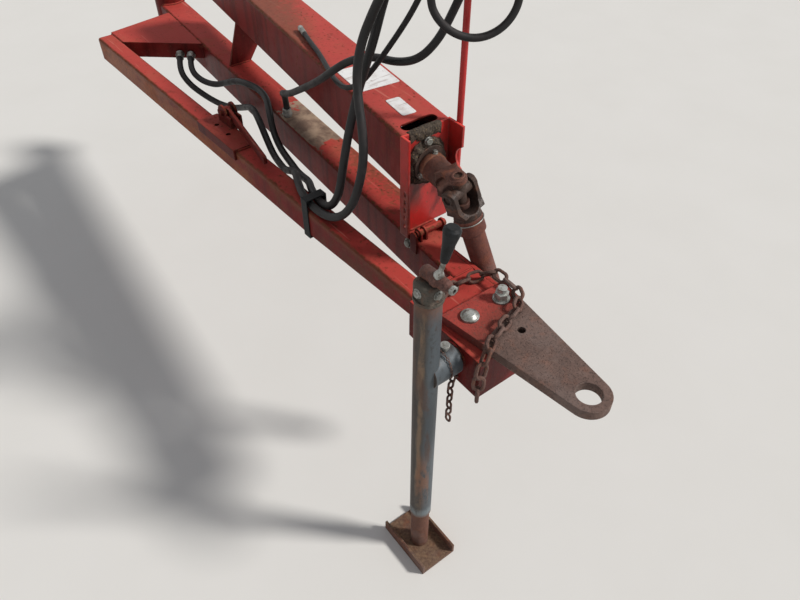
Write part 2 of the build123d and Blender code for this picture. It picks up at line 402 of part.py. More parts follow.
def rail_fittings():
    """Saddle and storage lever on the rail, and the strap that holds the hoses."""
    angle = math.degrees(math.atan(RAIL_SLOPE))
    length = SADDLE_X2 - SADDLE_X1
    width = RAIL_W + 2 * SADDLE_T + 1
    corner = (Align.MIN, Align.CENTER, Align.MAX)
    saddle = Box(length, width, SADDLE_SIDE, align=corner)
    saddle -= Pos(0, 0, -SADDLE_T) * Box(length, RAIL_W + 1, SADDLE_SIDE, align=corner)
    for x in SADDLE_HOLES_X:
        saddle -= Pos(x - SADDLE_X1, 0, 0) * Cylinder(SADDLE_HOLE_R, 4 * SADDLE_T)
    place = Pos(SADDLE_X1, rail_y(SADDLE_X1), TOP + SADDLE_T + 0.3) * Rot(0, 0, angle)
    shelf_y = LATCH_LUG_Y - LATCH_GAP / 2 - LATCH_LUG_T
    lug_x = LATCH_LUG_X - SADDLE_X1
    shelf = Pos(lug_x, shelf_y, -SADDLE_T) * Box(LATCH_LUG_L, LATCH_GAP + 2 * LATCH_LUG_T, SADDLE_T,
                                                 align=(Align.CENTER, Align.MIN, Align.MIN))
    lug = Rectangle(LATCH_LUG_L, LATCH_PIN_Z, align=(Align.CENTER, Align.MIN))
    lug += Pos(-8, LATCH_PIN_Z) * Circle(LATCH_LUG_H - LATCH_PIN_Z)
    lug -= Pos(-8, LATCH_PIN_Z) * Circle(LATCH_PIN_R + 0.3)
    saddle += shelf
    for y in (shelf_y + LATCH_LUG_T, shelf_y + 2 * LATCH_LUG_T + LATCH_GAP):
        saddle += Pos(lug_x, y, 0) * extrude(Plane.XZ * lug, LATCH_LUG_T)
    parts["latch_saddle"] = place * saddle
    lever = make_face(Polyline((-20, -12), (14, -8), (LEVER_L, -20 - LEVER_DROP + 10), (LEVER_L, LEVER_W - 20 - LEVER_DROP + 10),
                               (22, LEVER_W - 8), (-16, LEVER_W - 12), close=True))
    lever = fillet(lever.vertices(), 5)
    bar = extrude(Plane.XZ * lever, LEVER_T / 2, both=True) + Rot(90, 0, 0) * Cylinder(13, LATCH_GAP - 6)
    bar = Rot(0, 0, -9) * bar + Rot(90, 0, 0) * Cylinder(LATCH_PIN_R, LATCH_GAP + 2 * LATCH_LUG_T + 12)
    parts["latch_lever"] = place * Pos(lug_x - 8, LATCH_LUG_Y, LATCH_PIN_Z) * bar
    inside = RAIL_H + 28.0
    strap = Box(STRAP_W, RAIL_W + 2 * STRAP_T + 0.6, inside + 2 * STRAP_T)
    strap -= Box(STRAP_W, RAIL_W + 0.6, inside)
    height = TOP - RAIL_H - 0.4 + inside / 2
    parts["hose_strap"] = Pos(STRAP_X, rail_y(STRAP_X), height) * Rot(0, 0, angle) * strap


LIFT = (CHAIN_LINK_W / 2 - CHAIN_WIRE_R) * math.sqrt(0.5) + CHAIN_WIRE_R + 0.2
CHAIN_NOSE, CHAIN_PLATE = TOP + LIFT, PLATE_TOP + LIFT
CHAIN_ROUTE = [(1850, -236, CHAIN_NOSE), (1838, -206, CHAIN_NOSE), (1832, -172, CHAIN_NOSE),
               (1836, -140, CHAIN_NOSE), (1848, -114, CHAIN_NOSE + 5), (1868, -104, CHAIN_PLATE),
               (1898, -103, CHAIN_PLATE + 1), (1934, -104, CHAIN_PLATE), (1963, -121, CHAIN_PLATE),
               (1979, -154, CHAIN_PLATE), (1990, -194, CHAIN_PLATE), (2004, -232, CHAIN_PLATE),
               (2023, -264, CHAIN_PLATE), (2035, -290, CHAIN_PLATE - 25), (2037, -294, CHAIN_PLATE - 65),
               (2037, -294, CHAIN_PLATE - 120)]


def chain_link():
    """One welded link of round bar, lying along X."""
    half = (CHAIN_LINK_L - CHAIN_LINK_W) / 2
    radius = CHAIN_LINK_W / 2 - CHAIN_WIRE_R
    path = SlotOverall(2 * half + 2 * radius, 2 * radius).wire()
    section = Plane(origin=path @ 0, z_dir=path % 0) * RegularPolygon(CHAIN_WIRE_R * 1.05, 6)
    return sweep(section, path=path)


def safety_chain():
    """Links laid along the route, each turned a quarter from its neighbour."""
    points = [Vector(*p) for p in CHAIN_ROUTE]
    pitch = CHAIN_LINK_L - 2 * CHAIN_WIRE_R - 1.2
    runs = [(b - a).length for a, b in zip(points, points[1:])]
    total = sum(runs)
    count = int(total / pitch)

    def at(s):
        for (a, b), run in zip(zip(points, points[1:]), runs):
            if s <= run:
                return a + (b - a) * (s / run)
            s -= run
        return points[-1]

    link = chain_link()
    links = []
    for i in range(count):
        a, b = at(i * pitch), at((i + 1) * pitch)
        along = (b - a).normalized()
        side = along.cross(Vector(0, 0, 1))
        if side.length < 0.3:
            side = along.cross(Vector(1, 0, 0))
        side = side.normalized()
        normal = side.cross(along) + side * (1 if i % 2 else -1)
        links.append(Plane(origin=(a + b) * 0.5, x_dir=along, z_dir=normal.normalized()) * link)
    return Compound(children=links)


def hose_tube(route, radius):
    """Round hose along straight runs joined by tangent arcs."""
    points = [Vector(*p) for p in route]
    radii = []
    for a, b, c in zip(points, points[1:], points[2:]):
        turn = math.radians((b - a).get_angle(c - b))
        radii.append(0.45 * min((b - a).length, (c - b).length) / math.tan(turn / 2))
    print("radii in diameters:", [round(r / (2 * radius), 1) for r in radii])
    path = FilletPolyline(*points, radius=radii)
    section = Plane(origin=points[0], z_dir=points[1] - points[0]) * Circle(radius)
    tube = sweep(section, path=path)
    print("hose length", round(path.length), "volume ratio", round(tube.volume / (math.pi * radius**2 * path.length), 4))
    return tube


# Hose routes; the first and last points lie on the fitting's and the coupler's faces.
HOSE_A = [(418, -120, 12), (467, -147, 2), (520, -141, -17), (572, -118, -20), (623, -104, 2),
          (675, -106, 28), (727, -107, 52), (782, -100, 65), (839, -90, 66), (896, -97, 66),
          (947, -118, 54), (990, -137, 21), (1040, -148, -5), (1096, -159, -7), (1152, -172, 1),
          (1206, -187, 12), (1260, -199, 28), (1313, -213, 50), (1366, -238, 65), (1421, -248, 63),
          (1470, -250, 78), (1497, -241, 125), (1494, -225, 184), (1488, -206, 243), (1483, -186, 297),
          (1481, -165, 350), (1488, -148, 405), (1497, -132, 460), (1503, -118, 515), (1515, -105, 572),
          (1515, -105, 628)]
HOSE_B = [(394, -148, 12), (441, -175, -4), (487, -167, -38), (533, -143, -64), (588, -126, -73),
          (644, -120, -63), (699, -119, -46), (752, -121, -22), (803, -125, 3), (854, -134, 29),
          (908, -146, 46), (963, -160, 40), (1012, -170, 13), (1065, -181, -8), (1121, -192, -6),
          (1175, -206, 8), (1225, -214, 36), (1274, -227, 62), (1326, -251, 70), (1381, -269, 66),
          (1439, -271, 63), (1495, -268, 72), (1543, -262, 103), (1574, -254, 151), (1590, -246, 206),
          (1591, -233, 261), (1574, -221, 315), (1546, -210, 364), (1523, -196, 414), (1514, -176, 467),
          (1525, -157, 518), (1548, -142, 572), (1548, -142, 628)]
HOSE_THIN = [(1090, -60, 309), (1143, -75, 309), (1196, -88, 309), (1249, -105, 309), (1301, -123, 309),
             (1353, -140, 311), (1407, -151, 318), (1453, -143, 343), (1480, -123, 386), (1506, -106, 432),
             (1533, -92, 478), (1560, -82, 525), (1584, -74, 576), (1584, -74, 628)]
HOSE_TIE = [(1002, -90, 75), (1002, -90, 112), (1036, -116, 144), (1078, -130, 164), (1122, -138, 184), (1172, -144, 214),
            (1222, -149, 245), (1272, -155, 276), (1321, -159, 309), (1367, -158, 345), (1408, -134, 380),
            (1455, -104, 397), (1511, -88, 399), (1563, -70, 420), (1592, -45, 464), (1604, -22, 517),
            (1614, 0, 571), (1614, 0, 628)]
HOSE_LOOP = [(1626, -100, 628), (1626, -100, 563), (1638, -91, 532), (1655, -72, 509), (1674, -46, 496),
             (1691, -18, 496), (1705, 9, 509), (1713, 30, 532), (1714, 43, 563), (1714, 43, 628)]


def coupler():
    """Quick coupler: hexagon, grooved sliding sleeve and nose, turned from one bar."""
    r, length = COUPLER_R, COUPLER_L
    outline = Polyline((0, 0), (0.72 * r, 0), (0.72 * r, 0.2 * length), (0.86 * r, 0.22 * length),
                       (0.86 * r, 0.42 * length), (r, 0.45 * length), (r, 0.62 * length), (0.9 * r, 0.64 * length),
                       (0.9 * r, 0.7 * length), (r, 0.72 * length), (r, 0.9 * length), (0.8 * r, length), (0, length),
                       close=True)
    body = revolve(Plane.XZ * make_face(outline), Axis.Z)
    return body + Pos(0, 0, 0.02 * length) * extrude(RegularPolygon(0.95 * r, 6), 0.16 * length)


def hose_end(length, radius):
    """Crimped sleeve with a hexagon, from the hose's face back to the frame."""
    sleeve = Cylinder(radius, length, align=(Align.CENTER, Align.CENTER, Align.MIN))
    return sleeve + Pos(0, 0, 0.55 * length) * extrude(RegularPolygon(1.18 * radius, 6), 0.3 * length)


def hose_fittings():
    """Adapters on the frame, the rod and parking plate over the tunnel, and the couplers."""
    rod_y = TUNNEL_RIGHT_Y + TUNNEL_W + ROD_R + 0.3
    low = (Align.CENTER, Align.CENTER, Align.MIN)
    parts["hose_rod"] = Pos(ROD_X, rod_y, ROD_LOW_Z) * Cylinder(ROD_R, PARK_Z - ROD_LOW_Z, align=low)
    plate = extrude(RectangleRounded(PARK_L, PARK_W, 2 * PARK_T), PARK_T)
    parts["parking_plate"] = Pos(PARK_X, PARK_Y, PARK_Z + 0.2) * plate
    ends = [route[-1] for route in (HOSE_A, HOSE_B, HOSE_THIN, HOSE_TIE, HOSE_LOOP)] + [HOSE_LOOP[0]]
    parts["hose_couplers"] = Compound(children=[Pos(*end) * coupler() for end in ends])
    adapters = []
    for route, length, radius in ((HOSE_A, 25, 12.5), (HOSE_B, 25, 12.5), (HOSE_THIN, 40, 7)):
        start, direction = Vector(*route[0]), Vector(*route[0]) - Vector(*route[1])
        adapters.append(Plane(origin=start, z_dir=direction) * hose_end(length, radius))
    elbow = Pos(HOSE_TIE[0][0], HOSE_TIE[0][1], HOSE_TIE[0][2]) * Rot(180, 0, 0) * hose_end(HOSE_TIE[0][2] - TOP - 0.2, 12.0)
    adapters.append(elbow)
    parts["hose_adapters"] = Compound(children=adapters)


parts["main_beam"] = main_beam()
parts["near_rail"] = near_rail()
parts["cross_member"] = cross_member()
nose()
parts["hitch_plate"] = hitch_plate()
parts["hitch_bolts"] = hitch_bolts()
parts["tunnel"] = tunnel()
parts["front_bracket"] = front_bracket()
parts["guard_bar"] = guard_bar()
parts["tunnel_support"] = tunnel_support()
JOINT_CENTRE, PIN_1, PIN_2 = driveline()
parts["bearing_housings"] = bearing_housings()
jack()
rail_fittings()
parts["safety_chain"] = safety_chain()
parts["hose_a"] = hose_tube(HOSE_A, HOSE_R)
parts["hose_b"] = hose_tube(HOSE_B, HOSE_R)
parts["hose_thin"] = hose_tube(HOSE_THIN, THIN_R)
parts["hose_tie"] = hose_tube(HOSE_TIE, TIE_R)
parts["hose_loop"] = hose_tube(HOSE_LOOP, LOOP_R)
hose_fittings()

print("joint centre", JOINT_CENTRE, "pins", PIN_1, PIN_2)
os.makedirs("parts", exist_ok=True)
for name, shape in parts.items():
    export_step(shape, "parts/" + name + ".step")
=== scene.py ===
import math
import random

import bmesh
import bpy
from mathutils import Matrix, Vector, noise


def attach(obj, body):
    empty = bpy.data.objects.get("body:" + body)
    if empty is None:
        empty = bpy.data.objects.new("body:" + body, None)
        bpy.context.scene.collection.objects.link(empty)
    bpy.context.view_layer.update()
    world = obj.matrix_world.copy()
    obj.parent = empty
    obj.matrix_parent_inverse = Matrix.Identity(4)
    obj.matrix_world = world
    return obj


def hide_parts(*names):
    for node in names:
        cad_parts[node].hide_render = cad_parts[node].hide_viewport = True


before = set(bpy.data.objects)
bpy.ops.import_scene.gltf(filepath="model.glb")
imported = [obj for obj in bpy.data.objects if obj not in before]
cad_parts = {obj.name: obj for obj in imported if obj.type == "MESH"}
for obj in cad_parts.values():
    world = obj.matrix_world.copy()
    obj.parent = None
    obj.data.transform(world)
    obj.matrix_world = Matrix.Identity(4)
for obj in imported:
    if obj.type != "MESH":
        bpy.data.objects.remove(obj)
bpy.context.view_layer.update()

# The camera stands in front of the hitch, to the right of the drawbar, 1.7 m above the ground.
# It looks back along the drawbar and steeply down, through a moderately wide lens.
CAMERA_PLACE = Vector((2.614, -0.919, 1.051))
CAMERA_HEADING = Vector((-0.7955, 0.606))
CAMERA_PITCH = math.radians(44.0)
lens = bpy.data.cameras.new("camera")
lens.sensor_fit = "HORIZONTAL"
lens.sensor_width = 36.0
lens.lens = 31.5
lens.clip_end = 200.0
camera = bpy.data.objects.new("camera", lens)
bpy.context.collection.objects.link(camera)
gaze = Vector((*(CAMERA_HEADING * math.cos(CAMERA_PITCH)), -math.sin(CAMERA_PITCH)))
camera.location = CAMERA_PLACE
camera.rotation_euler = gaze.to_track_quat("-Z", "Y").to_euler()
bpy.context.scene.camera = camera
bpy.context.scene.view_settings.view_transform = "Standard"


# The floor is a plain pale ground, half a millimetre under the jack's foot, that only takes the shadow.
# A pale room lights everything softly, and one wide key lamp stands high at the front left.
class Field:
    """One socket of a node tree. Arithmetic on it adds Math nodes, so a map reads as an expression."""

    def __init__(self, tree, socket=None):
        self.tree = tree
        self.socket = socket

    def node(self, kind, settings=None, inputs=None, output=0):
        """Any node: its settings first, then a value or a link for each input."""
        made = self.tree.nodes.new(kind)
        for name, value in (settings or {}).items():
            setattr(made, name, value)
        for key, value in (inputs or {}).items():
            if isinstance(value, Field):
                self.tree.links.new(value.socket, made.inputs[key])
            else:
                made.inputs[key].default_value = value
        return Field(self.tree, made.outputs[output] if made.outputs else None)

    def math(self, operation, *values):
        return self.node("ShaderNodeMath", {"operation": operation}, dict(enumerate(values)))

    def __add__(self, other):
        return self.math("ADD", self, other)

    def __radd__(self, other):
        return self.math("ADD", other, self)

    def __sub__(self, other):
        return self.math("SUBTRACT", self, other)

    def __rsub__(self, other):
        return self.math("SUBTRACT", other, self)

    def __mul__(self, other):
        return self.math("MULTIPLY", self, other)

    def __rmul__(self, other):
        return self.math("MULTIPLY", other, self)

    def __pow__(self, other):
        return self.math("POWER", self, other)

    def __abs__(self):
        return self.math("ABSOLUTE", self)

    def least(self, other):
        return self.math("MINIMUM", self, other)

    def most(self, other):
        return self.math("MAXIMUM", self, other)

    def rise(self, low, high):
        """Smoothly from 0 at low to 1 at high."""
        return self.node("ShaderNodeMapRange", {"interpolation_type": "SMOOTHSTEP"},
                         {0: self, 1: low, 2: high})

    def band(self, low, high, soft):
        """1 between low and high, and 0 outside, with soft edges."""
        return self.rise(low - soft, low + soft) * self.rise(high + soft, high - soft)

    def mix(self, a, b):
        """From colour a to colour b."""
        return self.node("ShaderNodeMix", {"data_type": "RGBA"}, {0: self, 6: a, 7: b}, output=2)

    def noise(self, scale, detail=4.0, rough=0.55, warp=0.0, stretch=(1.0, 1.0, 1.0), shift=0.0):
        """Noise in the part's own metres, with one axis drawn out if stretch says so."""
        place = self.node("ShaderNodeTexCoord", output=3)
        place = self.node("ShaderNodeMapping", None, {0: place, 1: (shift, 1.7 * shift, -shift), 3: stretch})
        sizes = {"Vector": place, "Scale": scale, "Detail": detail, "Roughness": rough, "Distortion": warp}
        return self.node("ShaderNodeTexNoise", None, sizes)

    def place(self):
        """The point's x, y and z in the part's own metres."""
        point = self.node("ShaderNodeTexCoord", output=3)
        return [self.node("ShaderNodeSeparateXYZ", None, {0: point}, output=i) for i in range(3)]

    def facing(self):
        """How far the surface faces along x, y and z."""
        normal = self.node("ShaderNodeTexCoord", output=1)
        return [self.node("ShaderNodeSeparateXYZ", None, {0: normal}, output=i) for i in range(3)]

    def edges(self, radius):
        """1 on edges and corners, 0 on flat ground, and the rounded normal that gives it."""
        rounded = self.node("ShaderNodeBevel", {"samples": 6}, {0: radius})
        straight = self.node("ShaderNodeNewGeometry", output=1)
        turn = self.node("ShaderNodeVectorMath", {"operation": "DOT_PRODUCT"},
                         {0: rounded, 1: straight}, output=1)
        return (1.0 - turn).rise(0.01, 0.22), rounded

    def occlusion_shade(self, distance):
        """1 in corners and hollows by ambient occlusion, for painted shade."""
        open_sky = self.node("ShaderNodeAmbientOcclusion", {"samples": 6}, {1: distance}, output=1)
        return (1.0 - open_sky).rise(0.25, 0.85)

    def bump(self, height, depth, normal=None):
        """A normal from height, whose full range is depth metres."""
        inputs = {"Strength": 1.0, "Distance": depth, "Height": height}
        if normal is not None:
            inputs["Normal"] = normal
        return self.node("ShaderNodeBump", None, inputs)


def rgb(red, green, blue):
    """A colour given on a 0 to 255 scale, as the linear light that Blender wants."""
    light = []
    for value in (red, green, blue):
        v = value / 255
        light.append(v / 12.92 if v <= 0.04045 else ((v + 0.055) / 1.055) ** 2.4)
    return (*light, 1.0)


def new_material(name, **constants):
    """A material with plain numbers on its shader, the root of its maps, and a call that links them."""
    made = bpy.data.materials.new(name)
    made.use_nodes = True
    tree = made.node_tree
    shader = tree.nodes["Principled BSDF"]
    for key, value in constants.items():
        shader.inputs[key.replace("_", " ")].default_value = value

    def link(**maps):
        for key, value in maps.items():
            tree.links.new(value.socket, shader.inputs[key.replace("_", " ")])
    return made, Field(tree), link


FLOOR_Z, FLOOR_REACH = -0.6495, 30.0
ground = bpy.data.meshes.new("floor")
corners = [(FLOOR_REACH * x, FLOOR_REACH * y, FLOOR_Z) for x, y in ((-1, -1), (1, -1), (1, 1), (-1, 1))]
ground.from_pydata(corners, [], [(0, 1, 2, 3)])
floor = bpy.data.objects.new("floor", ground)
bpy.context.collection.objects.link(floor)
floor_material, root, link = new_material("pale_floor", Roughness=0.9, Specular_IOR_Level=0.1)
grain = root.noise(3.0, detail=3.0)
link(Base_Color=grain.mix(rgb(226, 224, 219), rgb(232, 230, 226)))
ground.materials.append(floor_material)

ROOM_LIGHT, KEY_LIGHT, KEY_SPREAD = 0.34, 3.0, math.radians(9.0)
world = bpy.data.worlds.new("pale_room")
world.use_nodes = True
world.node_tree.nodes.clear()
root = Field(world.node_tree)
path = [root.node("ShaderNodeLightPath", output=name) for name in
        ("Is Camera Ray", "Is Glossy Ray", "Is Transmission Ray")]
seen = (path[0] + path[1] + path[2]).least(1.0)
lighting = root.node("ShaderNodeBackground", None, {0: rgb(240, 243, 250), 1: ROOM_LIGHT})
shown = root.node("ShaderNodeBackground", None, {0: rgb(236, 236, 236), 1: 1.0})
both = root.node("ShaderNodeMixShader", None, {0: seen, 1: lighting, 2: shown})
root.node("ShaderNodeOutputWorld", None, {0: both})
bpy.context.scene.world = world

KEY_FROM = Vector((0.62, 0.62, 0.75))
key_light = bpy.data.lights.new("key", "SUN")
key_light.energy = KEY_LIGHT
key_light.angle = KEY_SPREAD
key_light.color = (1.0, 0.975, 0.94)
key = bpy.data.objects.new("key", key_light)
key.rotation_euler = KEY_FROM.to_track_quat("Z", "Y").to_euler()
bpy.context.collection.objects.link(key)

# The hydraulic hoses are two-braid rubber hoses. They leave the frame at the rear cross member, run
# loosely between beam and rail, pass the strap, and rise to couplers parked in a plate.
# Their black cover is greyed by dust, most on top, where the grey is also a painted top light, with faint
# ribs from its curing wrap.
HOSE_A = [(0.418, -0.120, 0.012), (0.467, -0.147, 0.002), (0.520, -0.141, -0.017), (0.572, -0.118, -0.020),
          (0.623, -0.104, 0.002), (0.675, -0.106, 0.028), (0.727, -0.107, 0.052), (0.782, -0.100, 0.065),
          (0.839, -0.090, 0.066), (0.896, -0.097, 0.066), (0.947, -0.118, 0.054), (0.990, -0.137, 0.021),
          (1.040, -0.148, -0.005), (1.096, -0.159, -0.007), (1.152, -0.172, 0.001), (1.206, -0.187, 0.012),
          (1.260, -0.199, 0.028), (1.313, -0.213, 0.050), (1.366, -0.238, 0.065), (1.421, -0.248, 0.063),
          (1.470, -0.250, 0.078), (1.497, -0.241, 0.125), (1.494, -0.225, 0.184), (1.488, -0.206, 0.243),
          (1.483, -0.186, 0.297), (1.481, -0.165, 0.350), (1.488, -0.148, 0.405), (1.497, -0.132, 0.460),
          (1.503, -0.118, 0.515), (1.515, -0.105, 0.572), (1.515, -0.105, 0.628)]
HOSE_B = [(0.394, -0.148, 0.012), (0.441, -0.175, -0.004), (0.487, -0.167, -0.038), (0.533, -0.143, -0.064),
          (0.588, -0.126, -0.073), (0.644, -0.120, -0.063), (0.699, -0.119, -0.046), (0.752, -0.121, -0.022),
          (0.803, -0.125, 0.003), (0.854, -0.134, 0.029), (0.908, -0.146, 0.046), (0.963, -0.160, 0.040),
          (1.012, -0.170, 0.013), (1.065, -0.181, -0.008), (1.121, -0.192, -0.006), (1.175, -0.206, 0.008),
          (1.225, -0.214, 0.036), (1.274, -0.227, 0.062), (1.326, -0.251, 0.070), (1.381, -0.269, 0.066),
          (1.439, -0.271, 0.063), (1.495, -0.268, 0.072), (1.543, -0.262, 0.103), (1.574, -0.254, 0.151),
          (1.590, -0.246, 0.206), (1.591, -0.233, 0.261), (1.574, -0.221, 0.315), (1.546, -0.210, 0.364),
          (1.523, -0.196, 0.414), (1.514, -0.176, 0.467), (1.525, -0.157, 0.518), (1.548, -0.142, 0.572),
          (1.548, -0.142, 0.628)]
HOSE_THIN = [(1.090, -0.060, 0.309), (1.143, -0.075, 0.309), (1.196, -0.088, 0.309), (1.249, -0.105, 0.309),
             (1.301, -0.123, 0.309), (1.353, -0.140, 0.311), (1.407, -0.151, 0.318), (1.453, -0.143, 0.343),
             (1.480, -0.123, 0.386), (1.506, -0.106, 0.432), (1.533, -0.092, 0.478), (1.560, -0.082, 0.525),
             (1.584, -0.074, 0.576), (1.584, -0.074, 0.628)]
HOSE_TIE = [(1.002, -0.090, 0.075), (1.002, -0.090, 0.112), (1.036, -0.116, 0.144), (1.078, -0.130, 0.164),
            (1.122, -0.138, 0.184), (1.172, -0.144, 0.214), (1.222, -0.149, 0.245), (1.272, -0.155, 0.276),
            (1.321, -0.159, 0.309), (1.367, -0.158, 0.345), (1.408, -0.134, 0.380), (1.455, -0.104, 0.397),
            (1.511, -0.088, 0.399), (1.563, -0.070, 0.420), (1.592, -0.045, 0.464), (1.604, -0.022, 0.517),
            (1.614, 0.000, 0.571), (1.614, 0.000, 0.628)]
HOSE_LOOP = [(1.626, -0.100, 0.628), (1.626, -0.100, 0.563), (1.638, -0.091, 0.532), (1.655, -0.072, 0.509),
             (1.674, -0.046, 0.496), (1.691, -0.018, 0.496), (1.705, 0.009, 0.509), (1.713, 0.030, 0.532),
             (1.714, 0.043, 0.563), (1.714, 0.043, 0.628)]


def hose_curve(name, route, diameter):
    """A round hose on a smooth spline through the route."""
    curve = bpy.data.curves.new(name, "CURVE")
    curve.dimensions = "3D"
    spline = curve.splines.new("NURBS")
    spline.points.add(len(route) - 1)
    for point, place in zip(spline.points, route):
        point.co = (*place, 1.0)
        point.radius = diameter / 2
    spline.order_u = 3
    spline.use_endpoint_u = True
    spline.resolution_u = 10
    curve.bevel_depth = 1.0
    curve.bevel_resolution = 8
    curve.use_fill_caps = True
    piece = bpy.data.objects.new(name, curve)
    bpy.context.collection.objects.link(piece)
    return piece


rubber, root, link = new_material("hose_rubber", Specular_IOR_Level=0.35)
dust = root.noise(38.0, detail=5.0).rise(0.42, 0.72)
upward = root.facing()[2].rise(-0.1, 0.9)
# The dust's grey is strongest on top, which is partly painted top light.
link(Base_Color=(dust * (0.35 + 0.65 * upward)).mix(rgb(13, 12, 13), rgb(54, 49, 49)),
     Roughness=0.5 + 0.3 * dust,
     Normal=root.bump(root.noise(900.0, detail=2.0) + 0.4 * dust, 0.0003))
HOSES = [("hose_a", HOSE_A, 0.019, 1.711), ("hose_b", HOSE_B, 0.019, 1.827),
         ("hose_thin", HOSE_THIN, 0.012, 0.711), ("hose_tie", HOSE_TIE, 0.017, 0.942),
         ("hose_loop", HOSE_LOOP, 0.015, 0.361)]
for name, route, diameter, length in HOSES:
    hose = hose_curve("rubber_" + name, route, diameter)
    hose.data.materials.append(rubber)
    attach(hose, "drawbar")
    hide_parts(name)


# The frame is welded from square and rectangular steel tube and plate, under one coat of red paint.
# Years outdoors have bleached its top faces and left grime on its sides; tops and sides also carry painted
# light and shade.
# Rust shows at edges, in chips and as stains round them, and straw has scratched the tops.
def weathered_paint(name, unfaded_and_shade, faded, grime_and_side_shade=0.78, wear=1.0, gloss=0.1, marks=()):
    """Faded paint with scratches, stains, chips down to rust, worn edges, grimy sides, and painted top light,
    side shade and corner shade.
    """
    made, root, link = new_material(name, Specular_IOR_Level=gloss)
    place = root.place()
    upward = root.facing()[2].rise(0.2, 0.95)
    cloud = root.noise(5.0, detail=5.0, warp=0.4)
    mottle = root.noise(24.0, detail=6.0, rough=0.62, shift=7.0)
    fine = root.noise(90.0, detail=6.0, rough=0.7, shift=3.0)
    # Tops fade toward the lighter red, partly from the sun and partly as painted top light.
    fade_and_top_light = (0.12 + 0.72 * upward + 1.1 * (cloud - 0.5) + 0.7 * (mottle - 0.5)).rise(0.0, 1.0)
    paint = fade_and_top_light.mix(unfaded_and_shade, faded)
    run = root.noise(34.0, detail=5.0, stretch=(1.0, 1.0, 0.1), shift=1.0).rise(0.42, 0.66)
    # Sides darken toward deep maroon, partly grime and partly painted side shade.
    paint = (grime_and_side_shade * (1.0 - upward) * (0.55 + 0.45 * run)).mix(paint, rgb(58, 19, 18))
    film = root.noise(9.0, detail=6.0, rough=0.6, shift=11.0).rise(0.5, 0.72)
    paint = (0.34 * film * upward).mix(paint, rgb(170, 112, 88))
    soot = root.noise(7.0, detail=6.0, rough=0.66, warp=0.8, shift=21.0).rise(0.56, 0.7)
    paint = (0.38 * soot).mix(paint, rgb(86, 46, 38))
    scratch = root.noise(60.0, detail=3.0, stretch=(0.05, 1.0, 1.0), shift=13.0).rise(0.64, 0.7)
    paint = (0.4 * scratch * upward).mix(paint, rgb(216, 138, 120))
    # Corners and hollows darken toward brown: painted shade from ambient occlusion.
    corner_shade = root.occlusion_shade(0.035)
    paint = (0.7 * corner_shade * fine.rise(0.3, 0.6)).mix(paint, rgb(64, 44, 36))
    edge, rounded = root.edges(0.004)
    corner = root.facing()[2].band(0.3, 0.9, 0.08)
    edge = edge.most(0.85 * corner)
    spread = root.noise(8.0, detail=4.0, shift=17.0).rise(0.46, 0.66)
    speck = root.noise(110.0, detail=5.0, rough=0.6, shift=5.0)
    stain = speck.rise(0.54, 0.64) * (0.25 + 0.75 * spread) + 0.6 * edge * mottle.rise(0.42, 0.6)
    stain = stain.least(1.0)
    paint = (0.5 * wear * stain).mix(paint, rgb(122, 62, 44))
    chip = speck.rise(0.635, 0.655) * (0.35 + 0.65 * spread) + edge * fine.rise(0.46, 0.58)
    bald = root.noise(36.0, detail=7.0, rough=0.72, shift=15.0).rise(0.68, 0.7)
    chip = (wear * (chip + bald)).least(1.0)
    rust = fine.mix(rgb(58, 36, 28), rgb(134, 82, 54))
    colour = chip.mix(paint, rust)
    for mark in marks:
        amount, tone = mark(root, place, fine, mottle, upward)
        colour = amount.mix(colour, tone)
    relief = 0.3 * root.noise(420.0, detail=2.0) + 0.25 * fine - 0.8 * chip
    link(Base_Color=colour,
         Roughness=0.4 + 0.2 * fade_and_top_light + 0.3 * chip + 0.15 * film,
         Normal=root.bump(relief, 0.0009, rounded))
    return made


def paint_node(name, material):
    """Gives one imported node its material."""
    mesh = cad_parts[name].data
    mesh.materials.clear()
    mesh.materials.append(material)


# The unfaded red is kept darker than the real paint, as painted shade for the sides.
FRESH_RED_AND_SHADE, FADED_RED = rgb(132, 33, 31), rgb(184, 70, 62)
frame_paint = weathered_paint("frame_paint", FRESH_RED_AND_SHADE, FADED_RED)
for name in ("cross_member", "nose_side_right", "nose_side_left", "nose_end_plate",
             "nose_top_plate", "nose_web", "tunnel_support", "parking_plate", "guard_bar"):
    paint_node(name, frame_paint)

# The latch's saddle is a channel of folded plate, set over the rail and welded. Its lever is a flat
# bar on a pin between two lugs. Dirt that lies round them has darkened and rusted the paint.
latch_paint = weathered_paint("latch_paint", rgb(104, 32, 29), rgb(156, 64, 55), grime_and_side_shade=0.8, wear=1.5)
for name in ("latch_saddle", "latch_lever"):
    paint_node(name, latch_paint)

# The near rail is a tube 51 mm wide and 76 mm high, welded to the cross member and to the nose.
# Sun and rain have turned its outer side orange brown, and rust comes through along its upper edges.
RAIL_REAR_X, RAIL_Y, RAIL_SLOPE = 0.169, -0.3055, 0.0386


def burnt_side(root, at, fine, mottle, upward):
    """The rail's outer side, where sun and rain have turned the red to orange brown, most at the rear."""
    x, y, z = at
    outward = root.facing()[1].rise(-0.3, -0.85)
    patchy = root.noise(6.0, detail=6.0, rough=0.6, stretch=(1.0, 1.0, 2.0), shift=31.0)
    amount = (patchy + 0.5 * (fine - 0.5) - 0.1 * (x - 0.9)).rise(0.34, 0.54)
    tone = (x + 0.4 * (mottle - 0.5)).rise(0.9, 1.5).mix(rgb(164, 92, 50), rgb(104, 58, 42))
    return 0.85 * outward * amount, (0.6 * fine.rise(0.35, 0.65)).mix(tone, rgb(84, 42, 28))


